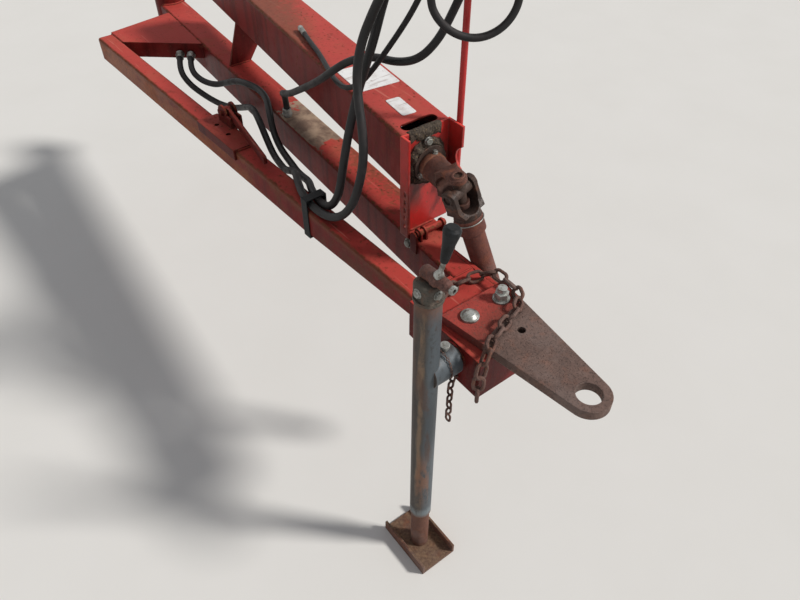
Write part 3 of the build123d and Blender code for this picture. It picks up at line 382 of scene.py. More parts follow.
def rusty_fold(root, at, fine, mottle, upward):
    """Brown rust along both upper edges of the rail, coming through in a ragged line."""
    x, y, z = at
    off = abs(y - RAIL_Y - RAIL_SLOPE * (x - RAIL_REAR_X))
    amount = (off + 0.014 * (mottle - 0.5) + 0.01 * (fine - 0.5)).rise(0.0175, 0.0245)
    amount = 0.9 * amount * z.rise(0.028, 0.046) * (0.35 + 0.65 * mottle.rise(0.35, 0.6))
    return amount, fine.mix(rgb(78, 42, 32), rgb(136, 80, 56))


rail_paint = weathered_paint("rail_paint", FRESH_RED_AND_SHADE, FADED_RED, grime_and_side_shade=0.6,
                             marks=[burnt_side, rusty_fold])
paint_node("near_rail", rail_paint)


# The main beam is a 102 by 90 mm tube with the pivot boss at its rear. Hoses have rubbed its top bare to
# dusty primer at one place, and stones and wet dirt have rusted it ahead of that.
def worn_top(root, at, fine, mottle, upward):
    """The stretch of the beam's top where the hoses rub the paint down to dusty primer."""
    x, y, z = at
    reach = (x + 0.25 * (mottle - 0.5)).band(0.955, 1.19, 0.035) * upward
    amount = (reach * (0.8 + 1.2 * (fine - 0.5))).rise(0.35, 0.62)
    return 0.92 * amount, mottle.rise(0.35, 0.65).mix(rgb(120, 104, 90), rgb(172, 152, 130))


BEAM_SLOPE = -0.0634


def scuffed_front(root, at, fine, mottle, upward):
    """Rust and dirt along the beam's top ahead of the worn stretch, most on the side under the tunnel."""
    x, y, z = at
    far_side = y - BEAM_SLOPE * x
    reach = x.band(1.19, 1.60, 0.06) * upward
    amount = (reach * (fine + 0.5 * mottle + 3.0 * far_side)).rise(0.72, 0.88)
    return 0.7 * amount, fine.mix(rgb(96, 52, 40), rgb(150, 88, 62))


beam_paint = weathered_paint("beam_paint", FRESH_RED_AND_SHADE, FADED_RED, wear=1.2,
                             marks=[worn_top, scuffed_front])
paint_node("main_beam", beam_paint)


# The tunnel is folded from sheet and open below. It covers the driveline from the rear support forward.
# Brown dust lies on its rear half, and rust follows its near fold.
TUNNEL_SLOPE = -0.1228


def dusty_rear(root, at, fine, mottle, upward):
    """Brown dust and rust on the tunnel's rear half, thickest along its near fold."""
    x, y, z = at
    across = y - TUNNEL_SLOPE * x - 0.0403
    rear = (x + 0.6 * (mottle - 0.5)).rise(1.4, 0.9)
    near = (0.6 * mottle + 0.4 * fine + 0.2 * rear - (6.0 - 3.5 * rear) * across).rise(0.34, 0.6)
    amount = 0.78 * near * (0.45 + 0.55 * rear) * root.facing()[2].rise(0.1, 0.5)
    return amount, fine.mix(rgb(72, 44, 36), rgb(142, 98, 76))


tunnel_paint = weathered_paint("tunnel_paint", rgb(140, 38, 35), rgb(190, 78, 71), wear=1.35,
                               marks=[dusty_rear])
paint_node("tunnel", tunnel_paint)

# The bracket across the tunnel's mouth is a folded plate that holds the front bearing. It was renewed
# later, so its red is brighter and glossier. Grease thrown from the bearing blackens it.
BEARING_PLACE = Vector((1.6286, -0.0913, 0.220))


def thrown_grease(root, at, fine, mottle, upward):
    """Black grease round the bearing, with a long run below it."""
    x, y, z = at
    across = y - BEARING_PLACE.y
    up = z - BEARING_PLACE.z
    far = (across * across + up * up) ** 0.5 + 0.05 * (mottle - 0.5) + 0.02 * (fine - 0.5)
    ring = far.rise(0.068, 0.045)
    run = (across + 0.03 + 0.05 * (mottle - 0.5)).band(-0.014, 0.016, 0.01)
    run = run * up.rise(0.0, -0.03) * up.rise(-0.14, -0.08)
    return (0.92 * ring).most(0.75 * run), fine.mix(rgb(24, 19, 18), rgb(72, 52, 42))


def flange_dirt_and_shade(root, at, fine, mottle, upward):
    """Rust, dirt and painted shade on the bracket's near flange, heaviest low down and along its front edge.
    """
    x, y, z = at
    near = y.rise(-0.134, -0.139)
    amount = (0.9 * mottle + 0.5 * fine - 3.0 * (z - 0.16)).rise(0.5, 0.85)
    return 0.7 * near * amount, fine.rise(0.3, 0.7).mix(rgb(70, 30, 26), rgb(122, 66, 50))


bracket_paint = weathered_paint("bracket_paint", rgb(192, 38, 34), rgb(232, 72, 62),
                                grime_and_side_shade=0.35, wear=0.55, gloss=0.45, marks=[thrown_grease, flange_dirt_and_shade])
paint_node("front_bracket", bracket_paint)

# The rod that carries the parking plate is a 14 mm round steel bar, painted the same brighter red.
# Hardly any dirt is thrown that high, so its paint is clean, and its sides get little painted shade.
rod_paint = weathered_paint("rod_paint", rgb(186, 36, 34), rgb(222, 66, 58), grime_and_side_shade=0.2, wear=0.6, gloss=0.4)
paint_node("hose_rod", rod_paint)


# The plates and tubes are joined by hand-laid fillet welds, painted over with the frame.
# Each bead keeps the scaly ripples that the arc leaves.
def circle(mesh, centre, radius, side, over, sides):
    """New points of the mesh round a circle, in the plane of side and over."""
    return [mesh.verts.new(centre + radius * (math.cos(t) * side + math.sin(t) * over))
            for t in (2 * math.pi * k / sides for k in range(sides))]


def skin(mesh, rings, closed=False):
    """Faces between each ring of points and the next, and from the last back to the first if closed."""
    for a, b in zip(rings, rings[1:] + rings[:1] if closed else rings[1:]):
        for i in range(len(a)):
            j = (i + 1) % len(a)
            mesh.faces.new((a[i], a[j], b[j], b[i]))


def caps(mesh, rings):
    """A face over the first ring and one over the last."""
    mesh.faces.new(rings[0][::-1])
    mesh.faces.new(rings[-1])


def bead(mesh, line, radius, pitch=0.0055):
    """One weld bead along a line of points, closed at both ends, each ripple a shallow scale."""
    rings = []
    count = 0
    points = [Vector(point) for point in line]
    total = sum((b - a).length for a, b in zip(points, points[1:]))
    for a, b in zip(points, points[1:]):
        along = (b - a).normalized()
        side = along.orthogonal().normalized()
        over = along.cross(side)
        steps = max(2, round((b - a).length / (pitch / 4)))
        for i in range(steps + (1 if b == points[-1] else 0)):
            phase = (count % 4) / 4
            gone = count * pitch / 4
            end = min(1.0, 0.35 + gone / (2 * radius), 0.35 + max(0.0, total - gone) / (2 * radius))
            size = radius * end * (0.84 + 0.2 * (1 - phase) + draw.uniform(-0.03, 0.03))
            centre = a + (b - a) * (i / steps)
            rings.append(circle(mesh, centre, size, side, over, 8))
            count += 1
    skin(mesh, rings)
    caps(mesh, rings)


def finished(name, mesh, material, body, smooth=True):
    """The mesh as a piece that rides on its body and takes its slot's finish."""
    bmesh.ops.recalc_face_normals(mesh, faces=mesh.faces)
    for face in mesh.faces:
        face.smooth = smooth
    data = bpy.data.meshes.new(name)
    mesh.to_mesh(data)
    mesh.free()
    data.materials.append(material)
    piece = bpy.data.objects.new(name, data)
    bpy.context.collection.objects.link(piece)
    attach(piece, body)
    return piece


def ring_line(centre, radius, axis, count=28):
    """Points round a circle, for a weld that runs round a pipe."""
    axis = Vector(axis).normalized()
    side = axis.orthogonal().normalized()
    over = axis.cross(side)
    angles = [math.radians(360.0 * i / count) for i in range(count + 1)]
    return [Vector(centre) + radius * (math.cos(a) * side + math.sin(a) * over) for a in angles]


draw = random.Random(7)
BEAM_HALF_W = 0.045
NOSE_RIGHT_Y, NOSE_REAR_X, NOSE_END_X, NOSE_LOW_Z = -0.278, 1.805, 2.012, -0.049


def beam_side(x, side):
    """The y of the beam's side face at x: side is 1 for the left face and -1 for the right."""
    return BEAM_SLOPE * x + side * BEAM_HALF_W


def rail_middle(x):
    """The y of the rail's middle at x."""
    return RAIL_Y + RAIL_SLOPE * (x - RAIL_REAR_X)


welds = {
    "cross_member": [
        [(0.416, beam_side(0.416, -1) - 0.001, 0.0462), (0.120, beam_side(0.120, -1) - 0.001, 0.0462)],
        [(0.4205, beam_side(0.4205, -1) - 0.001, 0.045), (0.4205, beam_side(0.4205, -1) - 0.001, 0.003)],
        [(0.152, rail_middle(0.152) + 0.0265, 0.0462), (0.248, rail_middle(0.248) + 0.0275, 0.0462)],
        [(0.2505, rail_middle(0.25) + 0.0275, 0.045), (0.2505, rail_middle(0.25) + 0.0275, 0.003)]],
    "tunnel_support": [
        [(0.6192, -0.0745, 0.0515), (0.6192, -0.0040, 0.0515)],
        [(0.6288, -0.0745, 0.0515), (0.6288, -0.0040, 0.0515)]],
    "bracket_foot": [
        [(1.6222, -0.1375, 0.0515), (1.6222, -0.0670, 0.0515)]],
    "saddle": [
        [(1.0832, rail_middle(1.083) - 0.021, 0.0518), (1.0832, rail_middle(1.083) + 0.021, 0.0518)],
        [(0.8792, rail_middle(0.879) - 0.021, 0.0518), (0.8792, rail_middle(0.879) + 0.021, 0.0518)]],
    "nose_top": [
        [(1.8046, -0.2645, 0.0503), (1.8046, -0.2180, 0.0503)],
        [(1.8046, -0.1580, 0.0503), (1.8046, -0.1090, 0.0503)],
        [(1.8080, -0.2680, 0.0503), (1.8860, -0.2680, 0.0503)],
        [(1.8080, -0.1060, 0.0503), (1.8280, -0.1060, 0.0503)]],
    "nose_corners": [
        [(NOSE_END_X, NOSE_RIGHT_Y - 0.0003, 0.046), (NOSE_END_X, NOSE_RIGHT_Y - 0.0003, NOSE_LOW_Z + 0.003)],
        [(NOSE_END_X, -0.1257, 0.046), (NOSE_END_X, -0.1257, NOSE_LOW_Z + 0.003)],
        [(NOSE_REAR_X + 0.001, NOSE_RIGHT_Y + 0.002, -0.002),
         (NOSE_REAR_X - 0.003, NOSE_RIGHT_Y + 0.0115, -0.002)]],
    "nose_left": [
        [(1.690, beam_side(1.69, 1) + 0.0002, 0.0462), (1.733, -0.0975, 0.0508)],
        [(1.6855, beam_side(1.6855, 1) - 0.0005, 0.040), (1.6855, beam_side(1.6855, 1) - 0.0005, -0.040)]],
    "jack_pipe": [ring_line((1.951, -0.2785, 0.016), 0.0278, (0, 1, 0))],
    "pivot_boss": [[(0.0525 * math.cos(math.radians(a)), 0.0525 * math.sin(math.radians(a)), z)
                    for a in range(-52, 53, 8)] for z in (0.0512, -0.0512)],
}
PLAIN_WELD_R = 0.0036
WELD_R = {"jack_pipe": 0.004, "pivot_boss": 0.0045, "nose_corners": 0.0028, "nose_top": 0.0028}
for name, lines in welds.items():
    mesh = bmesh.new()
    for line in lines:
        bead(mesh, line, WELD_R.get(name, PLAIN_WELD_R))
    finished("weld_" + name, mesh, frame_paint, "drawbar")

# A cheek plate stands on the beam's near side and holds the guard bar's end, behind a plated bolt.
# It is sheared from flat bar, with its upper end rounded over, and welded on before painting.
CHEEK_X, CHEEK_HALF_W, CHEEK_LOW_Z, CHEEK_TOP_Z, CHEEK_T = 1.660, 0.011, 0.022, 0.066, 0.0045
mesh = bmesh.new()
outline = [(CHEEK_X - CHEEK_HALF_W, CHEEK_LOW_Z), (CHEEK_X + CHEEK_HALF_W, CHEEK_LOW_Z)]
outline += [(CHEEK_X + CHEEK_HALF_W * math.cos(a), CHEEK_TOP_Z + CHEEK_HALF_W * math.sin(a))
            for a in (math.pi * i / 12 for i in range(13))]
back = beam_side(CHEEK_X, -1) - 0.0008
rims = [[mesh.verts.new((x, y, z)) for x, z in outline] for y in (back, back - CHEEK_T)]
caps(mesh, rims)
skin(mesh, rims)
cheek = finished("bar_cheek", mesh, frame_paint, "drawbar", smooth=False)
soften = cheek.modifiers.new("soft_edges", "BEVEL")
soften.width = 0.0006
soften.segments = 2


# Two thin plates of white vinyl are stuck flat on the paint of the tunnel's top, near its mouth.
# They have gone grey at their edges and are scuffed where hoses and straw rub them.
MOUTH_X, TUNNEL_TOP_Z = 1.615, 0.301
TUNNEL_CORNER, TUNNEL_TURN = Vector((MOUTH_X, -0.158, TUNNEL_TOP_Z)), math.atan(TUNNEL_SLOPE)
vinyl, root, link = new_material("bare_vinyl", Specular_IOR_Level=0.45)
fine = root.noise(150.0, detail=6.0, rough=0.65)
cloud = root.noise(30.0, detail=5.0, shift=2.0)
scuff = root.noise(80.0, detail=3.0, stretch=(1.0, 0.1, 1.0), shift=8.0).rise(0.6, 0.68)
edge, rounded = root.edges(0.0025)
colour = cloud.rise(0.4, 0.75).mix(rgb(244, 243, 242), rgb(220, 214, 210))
colour = (0.5 * scuff).mix(colour, rgb(168, 150, 142))
colour = (0.7 * (edge + fine.rise(0.63, 0.68)).least(1.0)).mix(colour, rgb(134, 98, 86))
link(Base_Color=colour, Roughness=0.38 + 0.3 * cloud, Normal=root.bump(fine - scuff, 0.0002, rounded))


def bare_plate(name, rear, front, right, left, corner=0.006, thick=0.0006):
    """A thin sheet with round corners, in the tunnel's own length and width, its edge curled by a hair."""
    mesh = bmesh.new()
    middle = Vector(((rear + front) / 2, (right + left) / 2))
    half = Vector(((front - rear) / 2, (left - right) / 2))
    loops = []
    for inset, lift in ((0.0, -thick), (0.0, 0.0), (0.0012, 0.0001), (0.006, 0.0)):
        loop = []
        for turn, (sx, sy) in enumerate(((1, 1), (-1, 1), (-1, -1), (1, -1))):
            for i in range(7):
                angle = math.radians(90 * turn + 15 * i)
                u = middle.x + sx * (half.x - corner) + (corner - inset) * math.cos(angle)
                v = middle.y + sy * (half.y - corner) + (corner - inset) * math.sin(angle)
                along = Matrix.Rotation(TUNNEL_TURN, 3, "Z") @ Vector((u, v, 0))
                loop.append(mesh.verts.new(TUNNEL_CORNER + along + Vector((0, 0, 0.0001 + thick + lift))))
        loops.append(loop)
    skin(mesh, loops)
    caps(mesh, loops)
    finished(name, mesh, vinyl, "drawbar", smooth=False)


bare_plate("bare_plate_large", rear=-0.325, front=-0.205, right=0.016, left=0.121)
bare_plate("bare_plate_small", rear=-0.145, front=-0.067, right=0.046, left=0.082)


# Grease, dust and chopped straw have built up into a crust round the bearing and on the tunnel's lip.
# It is soft and matted, black where the grease is fresh and straw-brown where it has dried.
crust, root, link = new_material("matted_dirt", Roughness=0.85, Specular_IOR_Level=0.25)
x, y, z = root.place()
fine = root.noise(170.0, detail=7.0, rough=0.7, warp=0.6)
fleck = root.noise(240.0, detail=2.0, stretch=(0.25, 1.0, 1.0), shift=5.0).rise(0.62, 0.66)
dry = (z + 0.03 * (fine - 0.5)).rise(0.215, 0.268)
colour = fine.rise(0.35, 0.65).mix(rgb(24, 19, 17), rgb(64, 48, 40))
colour = dry.mix(colour, fine.rise(0.35, 0.65).mix(rgb(42, 36, 31), rgb(92, 81, 70)))
colour = (0.45 * fleck).mix(colour, rgb(158, 136, 104))
link(Base_Color=colour, Normal=root.bump(fine + 0.5 * fleck, 0.0016))


def lumps(point, scale, seed):
    """Smooth lumps from 0 to 1, the same each run."""
    return 0.5 + 0.5 * noise.fractal(Vector(point) * scale + Vector((seed, 0, 0)), 1.0, 2.0, 4)


mesh = bmesh.new()
AROUND, ACROSS = 96, 14
CRUST_BACK_X, CRUST_IN_R, CRUST_OUT_R, CRUST_THICK = 1.6205, 0.034, 0.046, 0.0165
rings = []
for i in range(AROUND):
    angle = 2 * math.pi * i / AROUND
    way = Vector((0, math.cos(angle), math.sin(angle)))
    reach = CRUST_OUT_R + 0.02 * lumps(way, 1.6, 3.0) - 0.006 * max(0.0, math.cos(angle))
    ring = []
    for j in range(ACROSS + 1):
        t = j / ACROSS
        spot = BEARING_PLACE + way * (CRUST_IN_R + (reach - CRUST_IN_R) * t)
        swell = math.sin(math.pi * min(1.0, 0.12 + 0.88 * t)) ** 0.7
        height = CRUST_THICK * swell * (0.35 + 0.8 * lumps(spot, 60.0, 9.0))
        ring.append(mesh.verts.new((CRUST_BACK_X + height, spot.y, spot.z)))
    rings.append(ring)
# The face from a ring's outer end back to its inner end lies behind, against the bracket.
skin(mesh, rings, closed=True)
finished("bearing_crust", mesh, crust, "drawbar")

# The crust on the lip lies on the tunnel's top behind the edge, bends over it and hangs down in front.
# It is thickest along the bend, and runs out to nothing at both ends.
mesh = bmesh.new()
LIP_ROWS, LIP_STEPS, LIP_THICK, LIP_SUNK = 60, 16, 0.0085, 0.0004
LIP_BACK_X, LIP_FACE_X, LIP_TOP_Z, LIP_RIGHT_Y, LIP_WIDE = 1.6085, 1.6212, 0.3008, -0.139, 0.086
LIP_BEND = 0.4
rings = []
for i in range(LIP_ROWS + 1):
    t = i / LIP_ROWS
    y = LIP_RIGHT_Y + LIP_WIDE * t
    taper = math.sin(math.pi * t) ** 0.35 if 0 < t < 1 else 0.0
    down = 0.012 + 0.026 * lumps((t, 0, 0), 3.1, 4.0)
    outside, inside = [], []
    for j in range(LIP_STEPS + 1):
        s = j / LIP_STEPS
        if s < LIP_BEND:
            flat, out = Vector((LIP_BACK_X + 0.0125 * s / LIP_BEND, y, LIP_TOP_Z)), Vector((0, 0, 1))
        else:
            z = LIP_TOP_Z - down * (s - LIP_BEND) / (1 - LIP_BEND)
            flat, out = Vector((LIP_FACE_X, y, z)), Vector((1, 0, 0))
        if 0.3 < s < 0.5:
            out = Vector((1, 0, 1)).normalized()
        swell = math.sin(math.pi * s) ** 0.6 if 0 < s < 1 else 0.0
        thick = LIP_THICK * taper * swell * (0.3 + 0.9 * lumps(flat, 70.0, 1.0))
        outside.append(mesh.verts.new(flat + out * thick))
        inside.append(mesh.verts.new(flat - out * LIP_SUNK))
    rings.append(outside + inside[::-1])
skin(mesh, rings)
caps(mesh, rings)
finished("lip_crust", mesh, crust, "drawbar")

# Chaff that falls in at the slot has bridged the gaps between the shaft and the tunnel's walls,
# behind the bracket. The space over the shaft stays open.
mesh = bmesh.new()
PACK_ROWS, PACK_STEPS, PACK_LOW_Z, PACK_TOP_Z = 40, 36, 0.226, 0.2375
PACK_FRONT_X, PACK_LONG, PACK_RIGHT_Y, PACK_WIDE = 1.6142, 0.120, -0.1535, 0.1270
rings = []
for i in range(PACK_ROWS + 1):
    top, base = [], []
    for j in range(PACK_STEPS + 1):
        x = PACK_FRONT_X - PACK_LONG * j / PACK_STEPS
        y = PACK_RIGHT_Y + PACK_WIDE * i / PACK_ROWS + TUNNEL_SLOPE * (x - MOUTH_X)
        heap = 0.008 * (lumps((x, y, 0.0), 40.0, 6.0) - 0.5) - 0.004 * (j / PACK_STEPS) ** 2
        top.append(mesh.verts.new((x, y, PACK_TOP_Z + heap)))
        base.append(mesh.verts.new((x, y, PACK_LOW_Z)))
    rings.append(top + base[::-1])
skin(mesh, rings)
caps(mesh, rings)
finished("packed_chaff", mesh, crust, "drawbar")


# The hitch plate, chain, yokes and jack leg are bare steel that has rusted brown all over.
# Where they rub together the rust is polished darker, and pits hold the orange of new rust.
def rusted(name, dark, light, orange=0.3, metal=0.15, scale=1.0, grease=0.0,
           rubbed=rgb(150, 132, 120), marks=()):
    """Old rust: brown mottles, fresh orange in pits, duller metal on rubbed edges, and grease."""
    made, root, link = new_material(name, Specular_IOR_Level=0.35)
    place = root.place()
    coarse = root.noise(18.0 * scale, detail=6.0, rough=0.62, warp=0.3)
    fine = root.noise(140.0 * scale, detail=7.0, rough=0.7, shift=2.0)
    pits = root.noise(320.0 * scale, detail=3.0, shift=9.0).rise(0.55, 0.66)
    edge, rounded = root.edges(0.0025)
    colour = (0.9 * coarse + 0.9 * fine - 0.4).mix(dark, light)
    new_rust = root.noise(45.0 * scale, detail=5.0, shift=4.0).rise(0.5, 0.7)
    colour = (orange * new_rust).mix(colour, rgb(156, 88, 50))
    colour = (0.6 * pits).mix(colour, dark)
    bloom = root.noise(9.0 * scale, detail=5.0, rough=0.65, shift=14.0).rise(0.5, 0.68)
    colour = (0.3 * bloom).mix(colour, rgb(138, 122, 116))
    colour = (0.65 * edge * fine.rise(0.38, 0.58)).mix(colour, rubbed)
    # Corners and hollows darken nearly to black: painted shade from ambient occlusion.
    corner_shade = root.occlusion_shade(0.02)
    colour = (0.6 * corner_shade).mix(colour, rgb(34, 26, 23))
    oily = grease * root.noise(13.0 * scale, detail=5.0, warp=0.5, shift=6.0).rise(0.4, 0.56)
    colour = (0.85 * oily).mix(colour, fine.mix(rgb(26, 21, 20), rgb(62, 48, 42)))
    upward = root.facing()[2].rise(0.2, 0.95)
    for mark in marks:
        amount, tone = mark(root, place, fine, coarse, upward)
        colour = amount.mix(colour, tone)
    link(Base_Color=colour,
         Metallic=metal * (1.0 - pits),
         Roughness=0.6 + 0.28 * fine - 0.25 * oily,
         Normal=root.bump(0.5 * fine + 0.25 * coarse - 0.6 * pits, 0.0011, rounded))
    return made


def painted_rear(root, at, fine, mottle, upward):
    """The hitch plate's rear third still has its red paint, up to a ragged line by the chain."""
    x, y, z = at
    aslant = x + 0.28 * y
    line = aslant + 0.03 * (mottle - 0.5) + 0.012 * (fine - 0.5)
    kept = line.rise(1.932, 1.924) * (1.0 - fine.rise(0.6, 0.68))
    # The kept red is lighter on the plate's top than on its edges: partly sun fade, partly painted top light.
    tone = (0.6 * upward + 0.8 * (mottle - 0.3)).rise(0.1, 1.0).mix(rgb(112, 36, 32), rgb(178, 70, 60))
    dirt = aslant.rise(1.86, 1.93) * (0.4 + 1.2 * (mottle - 0.3)) + 0.5 * fine.rise(0.5, 0.66)
    return 0.95 * kept, dirt.least(0.8).mix(tone, rgb(92, 56, 44))


plate_rust = rusted("plate_rust", rgb(62, 48, 44), rgb(136, 110, 100), orange=0.14,
                    marks=[painted_rear])
paint_node("hitch_plate", plate_rust)
tube_rust = rusted("tube_rust", rgb(78, 42, 36), rgb(134, 80, 68), orange=0.2, metal=0.2, grease=0.25)
for name in ("shaft_tube", "shaft_collar"):
    paint_node(name, tube_rust)
yoke_rust = rusted("yoke_rust", rgb(58, 37, 32), rgb(128, 84, 72), grease=0.45, rubbed=rgb(162, 120, 100))
paint_node("input_yoke", yoke_rust)
greased_rust = rusted("greased_rust", rgb(32, 26, 24), rgb(92, 70, 60), grease=0.95,
                      rubbed=rgb(158, 126, 108))
paint_node("shaft_yoke", greased_rust)


def dried_mud(root, at, fine, mottle, upward):
    """Field soil dried on the jack's foot, and splashed up the leg above it."""
    x, y, z = at
    amount = (0.3 * upward + 1.3 * mottle + 0.5 * fine + 3.0 * (-0.6 - z)).rise(1.05, 1.4)
    return 0.7 * amount, fine.rise(0.3, 0.7).mix(rgb(84, 64, 50), rgb(142, 118, 92))


leg_rust = rusted("leg_rust", rgb(66, 44, 37), rgb(132, 90, 74), orange=0.35, marks=[dried_mud])
for name in ("jack_leg", "jack_foot"):
    paint_node(name, leg_rust)
hub_rust = rusted("hub_rust", rgb(62, 42, 38), rgb(132, 90, 80), orange=0.25, grease=0.4,
                  rubbed=rgb(168, 138, 126))
paint_node("jack_hub", hub_rust)
chain_rust = rusted("chain_rust", rgb(58, 42, 38), rgb(124, 92, 82), scale=1.6, rubbed=rgb(158, 130, 118))
paint_node("safety_chain", chain_rust)
cast_rust = rusted("cast_rust", rgb(40, 31, 28), rgb(104, 78, 66), grease=0.6)
for name in ("bearing_housings", "joint_cross"):
    paint_node(name, cast_rust)


# The jack is a drawn tube, once painted grey, with a cast head and a galvanised pivot ring.
# Its colour follows the way each side faces: painted shade on the side turned away, a tan painted highlight
# beside it, and a blue-grey bloom on the side that meets the weather.
# The side facing this way takes the bloom; the side turned from it is painted in shade.
LIGHT_AND_WEATHER_X, LIGHT_AND_WEATHER_Y = 0.606, 0.7955


def jack_finish(name, bare, bloom, rust_top, metal):
    """Old grey paint in streaks down the tube: painted shade, then a tan painted highlight, then a blue-grey
    bloom.
    """
    made, root, link = new_material(name, Specular_IOR_Level=0.45)
    x, y, z = root.place()
    facing = root.facing()
    streak = root.noise(46.0, detail=6.0, rough=0.62, warp=0.5, stretch=(1.0, 1.0, 0.1))
    cloud = root.noise(13.0, detail=6.0, rough=0.6, warp=0.6, stretch=(1.0, 1.0, 0.4), shift=6.0)
    fine = root.noise(120.0, detail=7.0, rough=0.7, shift=1.0)
    edge, rounded = root.edges(0.003)
    turn = LIGHT_AND_WEATHER_X * facing[0] + LIGHT_AND_WEATHER_Y * facing[1] + 1.1 * (streak - 0.5) + 0.7 * (cloud - 0.5)
    colour = turn.rise(-0.2, 0.35).mix(bare, bloom)
    broken = root.noise(21.0, detail=6.0, rough=0.66, warp=1.2, stretch=(1.0, 1.0, 0.25), shift=19.0)
    # A tan band on the side turned half away is a painted highlight, broken into streaks.
    colour = (0.9 * turn.band(-0.5, -0.1, 0.12) * broken.rise(0.42, 0.6)).mix(colour, rgb(128, 104, 82))
    # The side turned fully away is painted in shade.
    colour = (0.85 * turn.rise(-0.45, -0.75)).mix(colour, rgb(50, 41, 37))
    colour = (0.5 * broken.rise(0.5, 0.4) * fine.rise(0.4, 0.6)).mix(colour, rgb(50, 46, 44))
    worn = (z + 0.06 * (cloud - 0.5)).band(-0.41, -0.25, 0.05) * turn.band(-0.4, 0.5, 0.15)
    worn = worn * broken.rise(0.38, 0.52)
    colour = (0.7 * worn).mix(colour, fine.mix(rgb(104, 66, 46), rgb(158, 108, 76)))
    pale = (z + 0.07 * (cloud - 0.5) + 0.03 * (streak - 0.5)).rise(-0.452, -0.472) * broken.rise(0.36, 0.46)
    colour = (0.6 * pale).mix(colour, rgb(132, 142, 146))
    colour = (0.75 * cloud.rise(0.55, 0.66) * streak.rise(0.4, 0.6)).mix(colour, rgb(88, 62, 50))
    colour = (0.6 * fine.rise(0.56, 0.7)).mix(colour, rgb(64, 58, 54))
    end_rust = (z + 0.03 * (cloud - 0.5)).rise(-0.478, -0.492)
    end_rust = (end_rust + rust_top * (z + 0.04 * (streak - 0.5)).rise(0.165, 0.215)).least(1.0)
    brown = fine.mix(rgb(62, 42, 34), rgb(136, 94, 72))
    colour = (0.8 * end_rust * (0.4 + fine)).least(0.9).mix(colour, brown)
    colour = (0.9 * edge * fine.rise(0.38, 0.56)).mix(colour, rgb(112, 84, 68))
    link(Base_Color=colour,
         Metallic=metal * (1.0 - end_rust),
         Roughness=0.36 + 0.35 * streak + 0.15 * end_rust,
         Normal=root.bump(fine + 0.8 * streak, 0.0006, rounded))
    return made


jack_paint = jack_finish("jack_paint", rgb(74, 68, 62), rgb(82, 89, 94), rust_top=1.0, metal=0.25)
paint_node("jack_tube", jack_paint)
mount_paint = jack_finish("mount_paint", rgb(92, 90, 84), rgb(108, 112, 110), rust_top=0.0, metal=0.1)
paint_node("jack_mount", mount_paint)
head_rust = rusted("head_rust", rgb(52, 50, 45), rgb(104, 98, 88), grease=0.3, rubbed=rgb(138, 122, 106))
paint_node("jack_head", head_rust)

# Bolts, nuts, the crank's arm and the hose fittings are zinc plated steel.
# The plating has gone dull and white, with rust on the corners and painted shade in the hollows.
zinc, root, link = new_material("dull_zinc", Metallic=0.7)
fine = root.noise(160.0, detail=6.0, rough=0.6)
cloud = root.noise(40.0, detail=5.0, shift=3.0)
edge, rounded = root.edges(0.0015)
corner_shade = root.occlusion_shade(0.012)
colour = cloud.rise(0.35, 0.65).mix(rgb(122, 122, 116), rgb(180, 182, 178))
colour = (0.7 * fine.rise(0.52, 0.68)).mix(colour, rgb(98, 82, 68))
# Hollows darken toward brown: painted shade from ambient occlusion.
colour = (0.55 * corner_shade).mix(colour, rgb(56, 46, 40))
link(Base_Color=colour,
     Roughness=0.3 + 0.35 * fine + 0.2 * corner_shade,
     Normal=root.bump(fine + 0.3 * cloud, 0.0005, rounded))
for name in ("hitch_bolts", "jack_handle", "hose_couplers", "hose_adapters", "collar_ring",
             "jack_nuts", "jack_pin"):
    paint_node(name, zinc)

# One zinc plated hexagon bolt sits in the beam's near side, below the bracket.
# It is screwed down on a round washer, and its turned tip stands out a little.
mesh = bmesh.new()
BOLT_X, BOLT_Z = 1.636, 0.031
bolt_face = beam_side(BOLT_X, -1)
for sides, radius, start, end, turn in ((24, 0.0125, 0.0002, -0.0016, 0.0),
                                        (6, 0.0092, -0.0016, -0.0072, 0.3),
                                        (24, 0.0074, -0.0072, -0.0079, 0.0)):
    rings = [[mesh.verts.new((BOLT_X + radius * math.cos(t), bolt_face + y, BOLT_Z + radius * math.sin(t)))
              for t in (turn + 2 * math.pi * i / sides for i in range(sides))] for y in (start, end)]
    skin(mesh, rings)
    caps(mesh, rings)
finished("side_bolt", mesh, zinc, "drawbar", smooth=False)


# A locking collar grips the shaft between the bearing and the yoke, turned from bar and chamfered.
# Two set bolts pull it tight, and one bolt of the bearing's flange shows through the dirt above it.
def turned(mesh, start, axis, profile, sides=48, closed=False):
    """A skin round an axis: each step of its profile is (distance along the axis, radius)."""
    side = axis.orthogonal().normalized()
    over = axis.cross(side)
    rings = [circle(mesh, start + along * axis, radius, side, over, sides) for along, radius in profile]
    skin(mesh, rings, closed)
    return rings


def hex_bolt(mesh, seat, axis, washer_r, head_r, tip_r, shoulder, height, washer_t=0.0022):
    """A hexagon head on a round washer, chamfered from its shoulder up to its top."""
    caps(mesh, turned(mesh, seat, axis, [(0.0, washer_r), (washer_t, washer_r)], 24))
    caps(mesh, turned(mesh, seat, axis, [(washer_t, head_r), (shoulder, head_r), (height, tip_r)], 6))


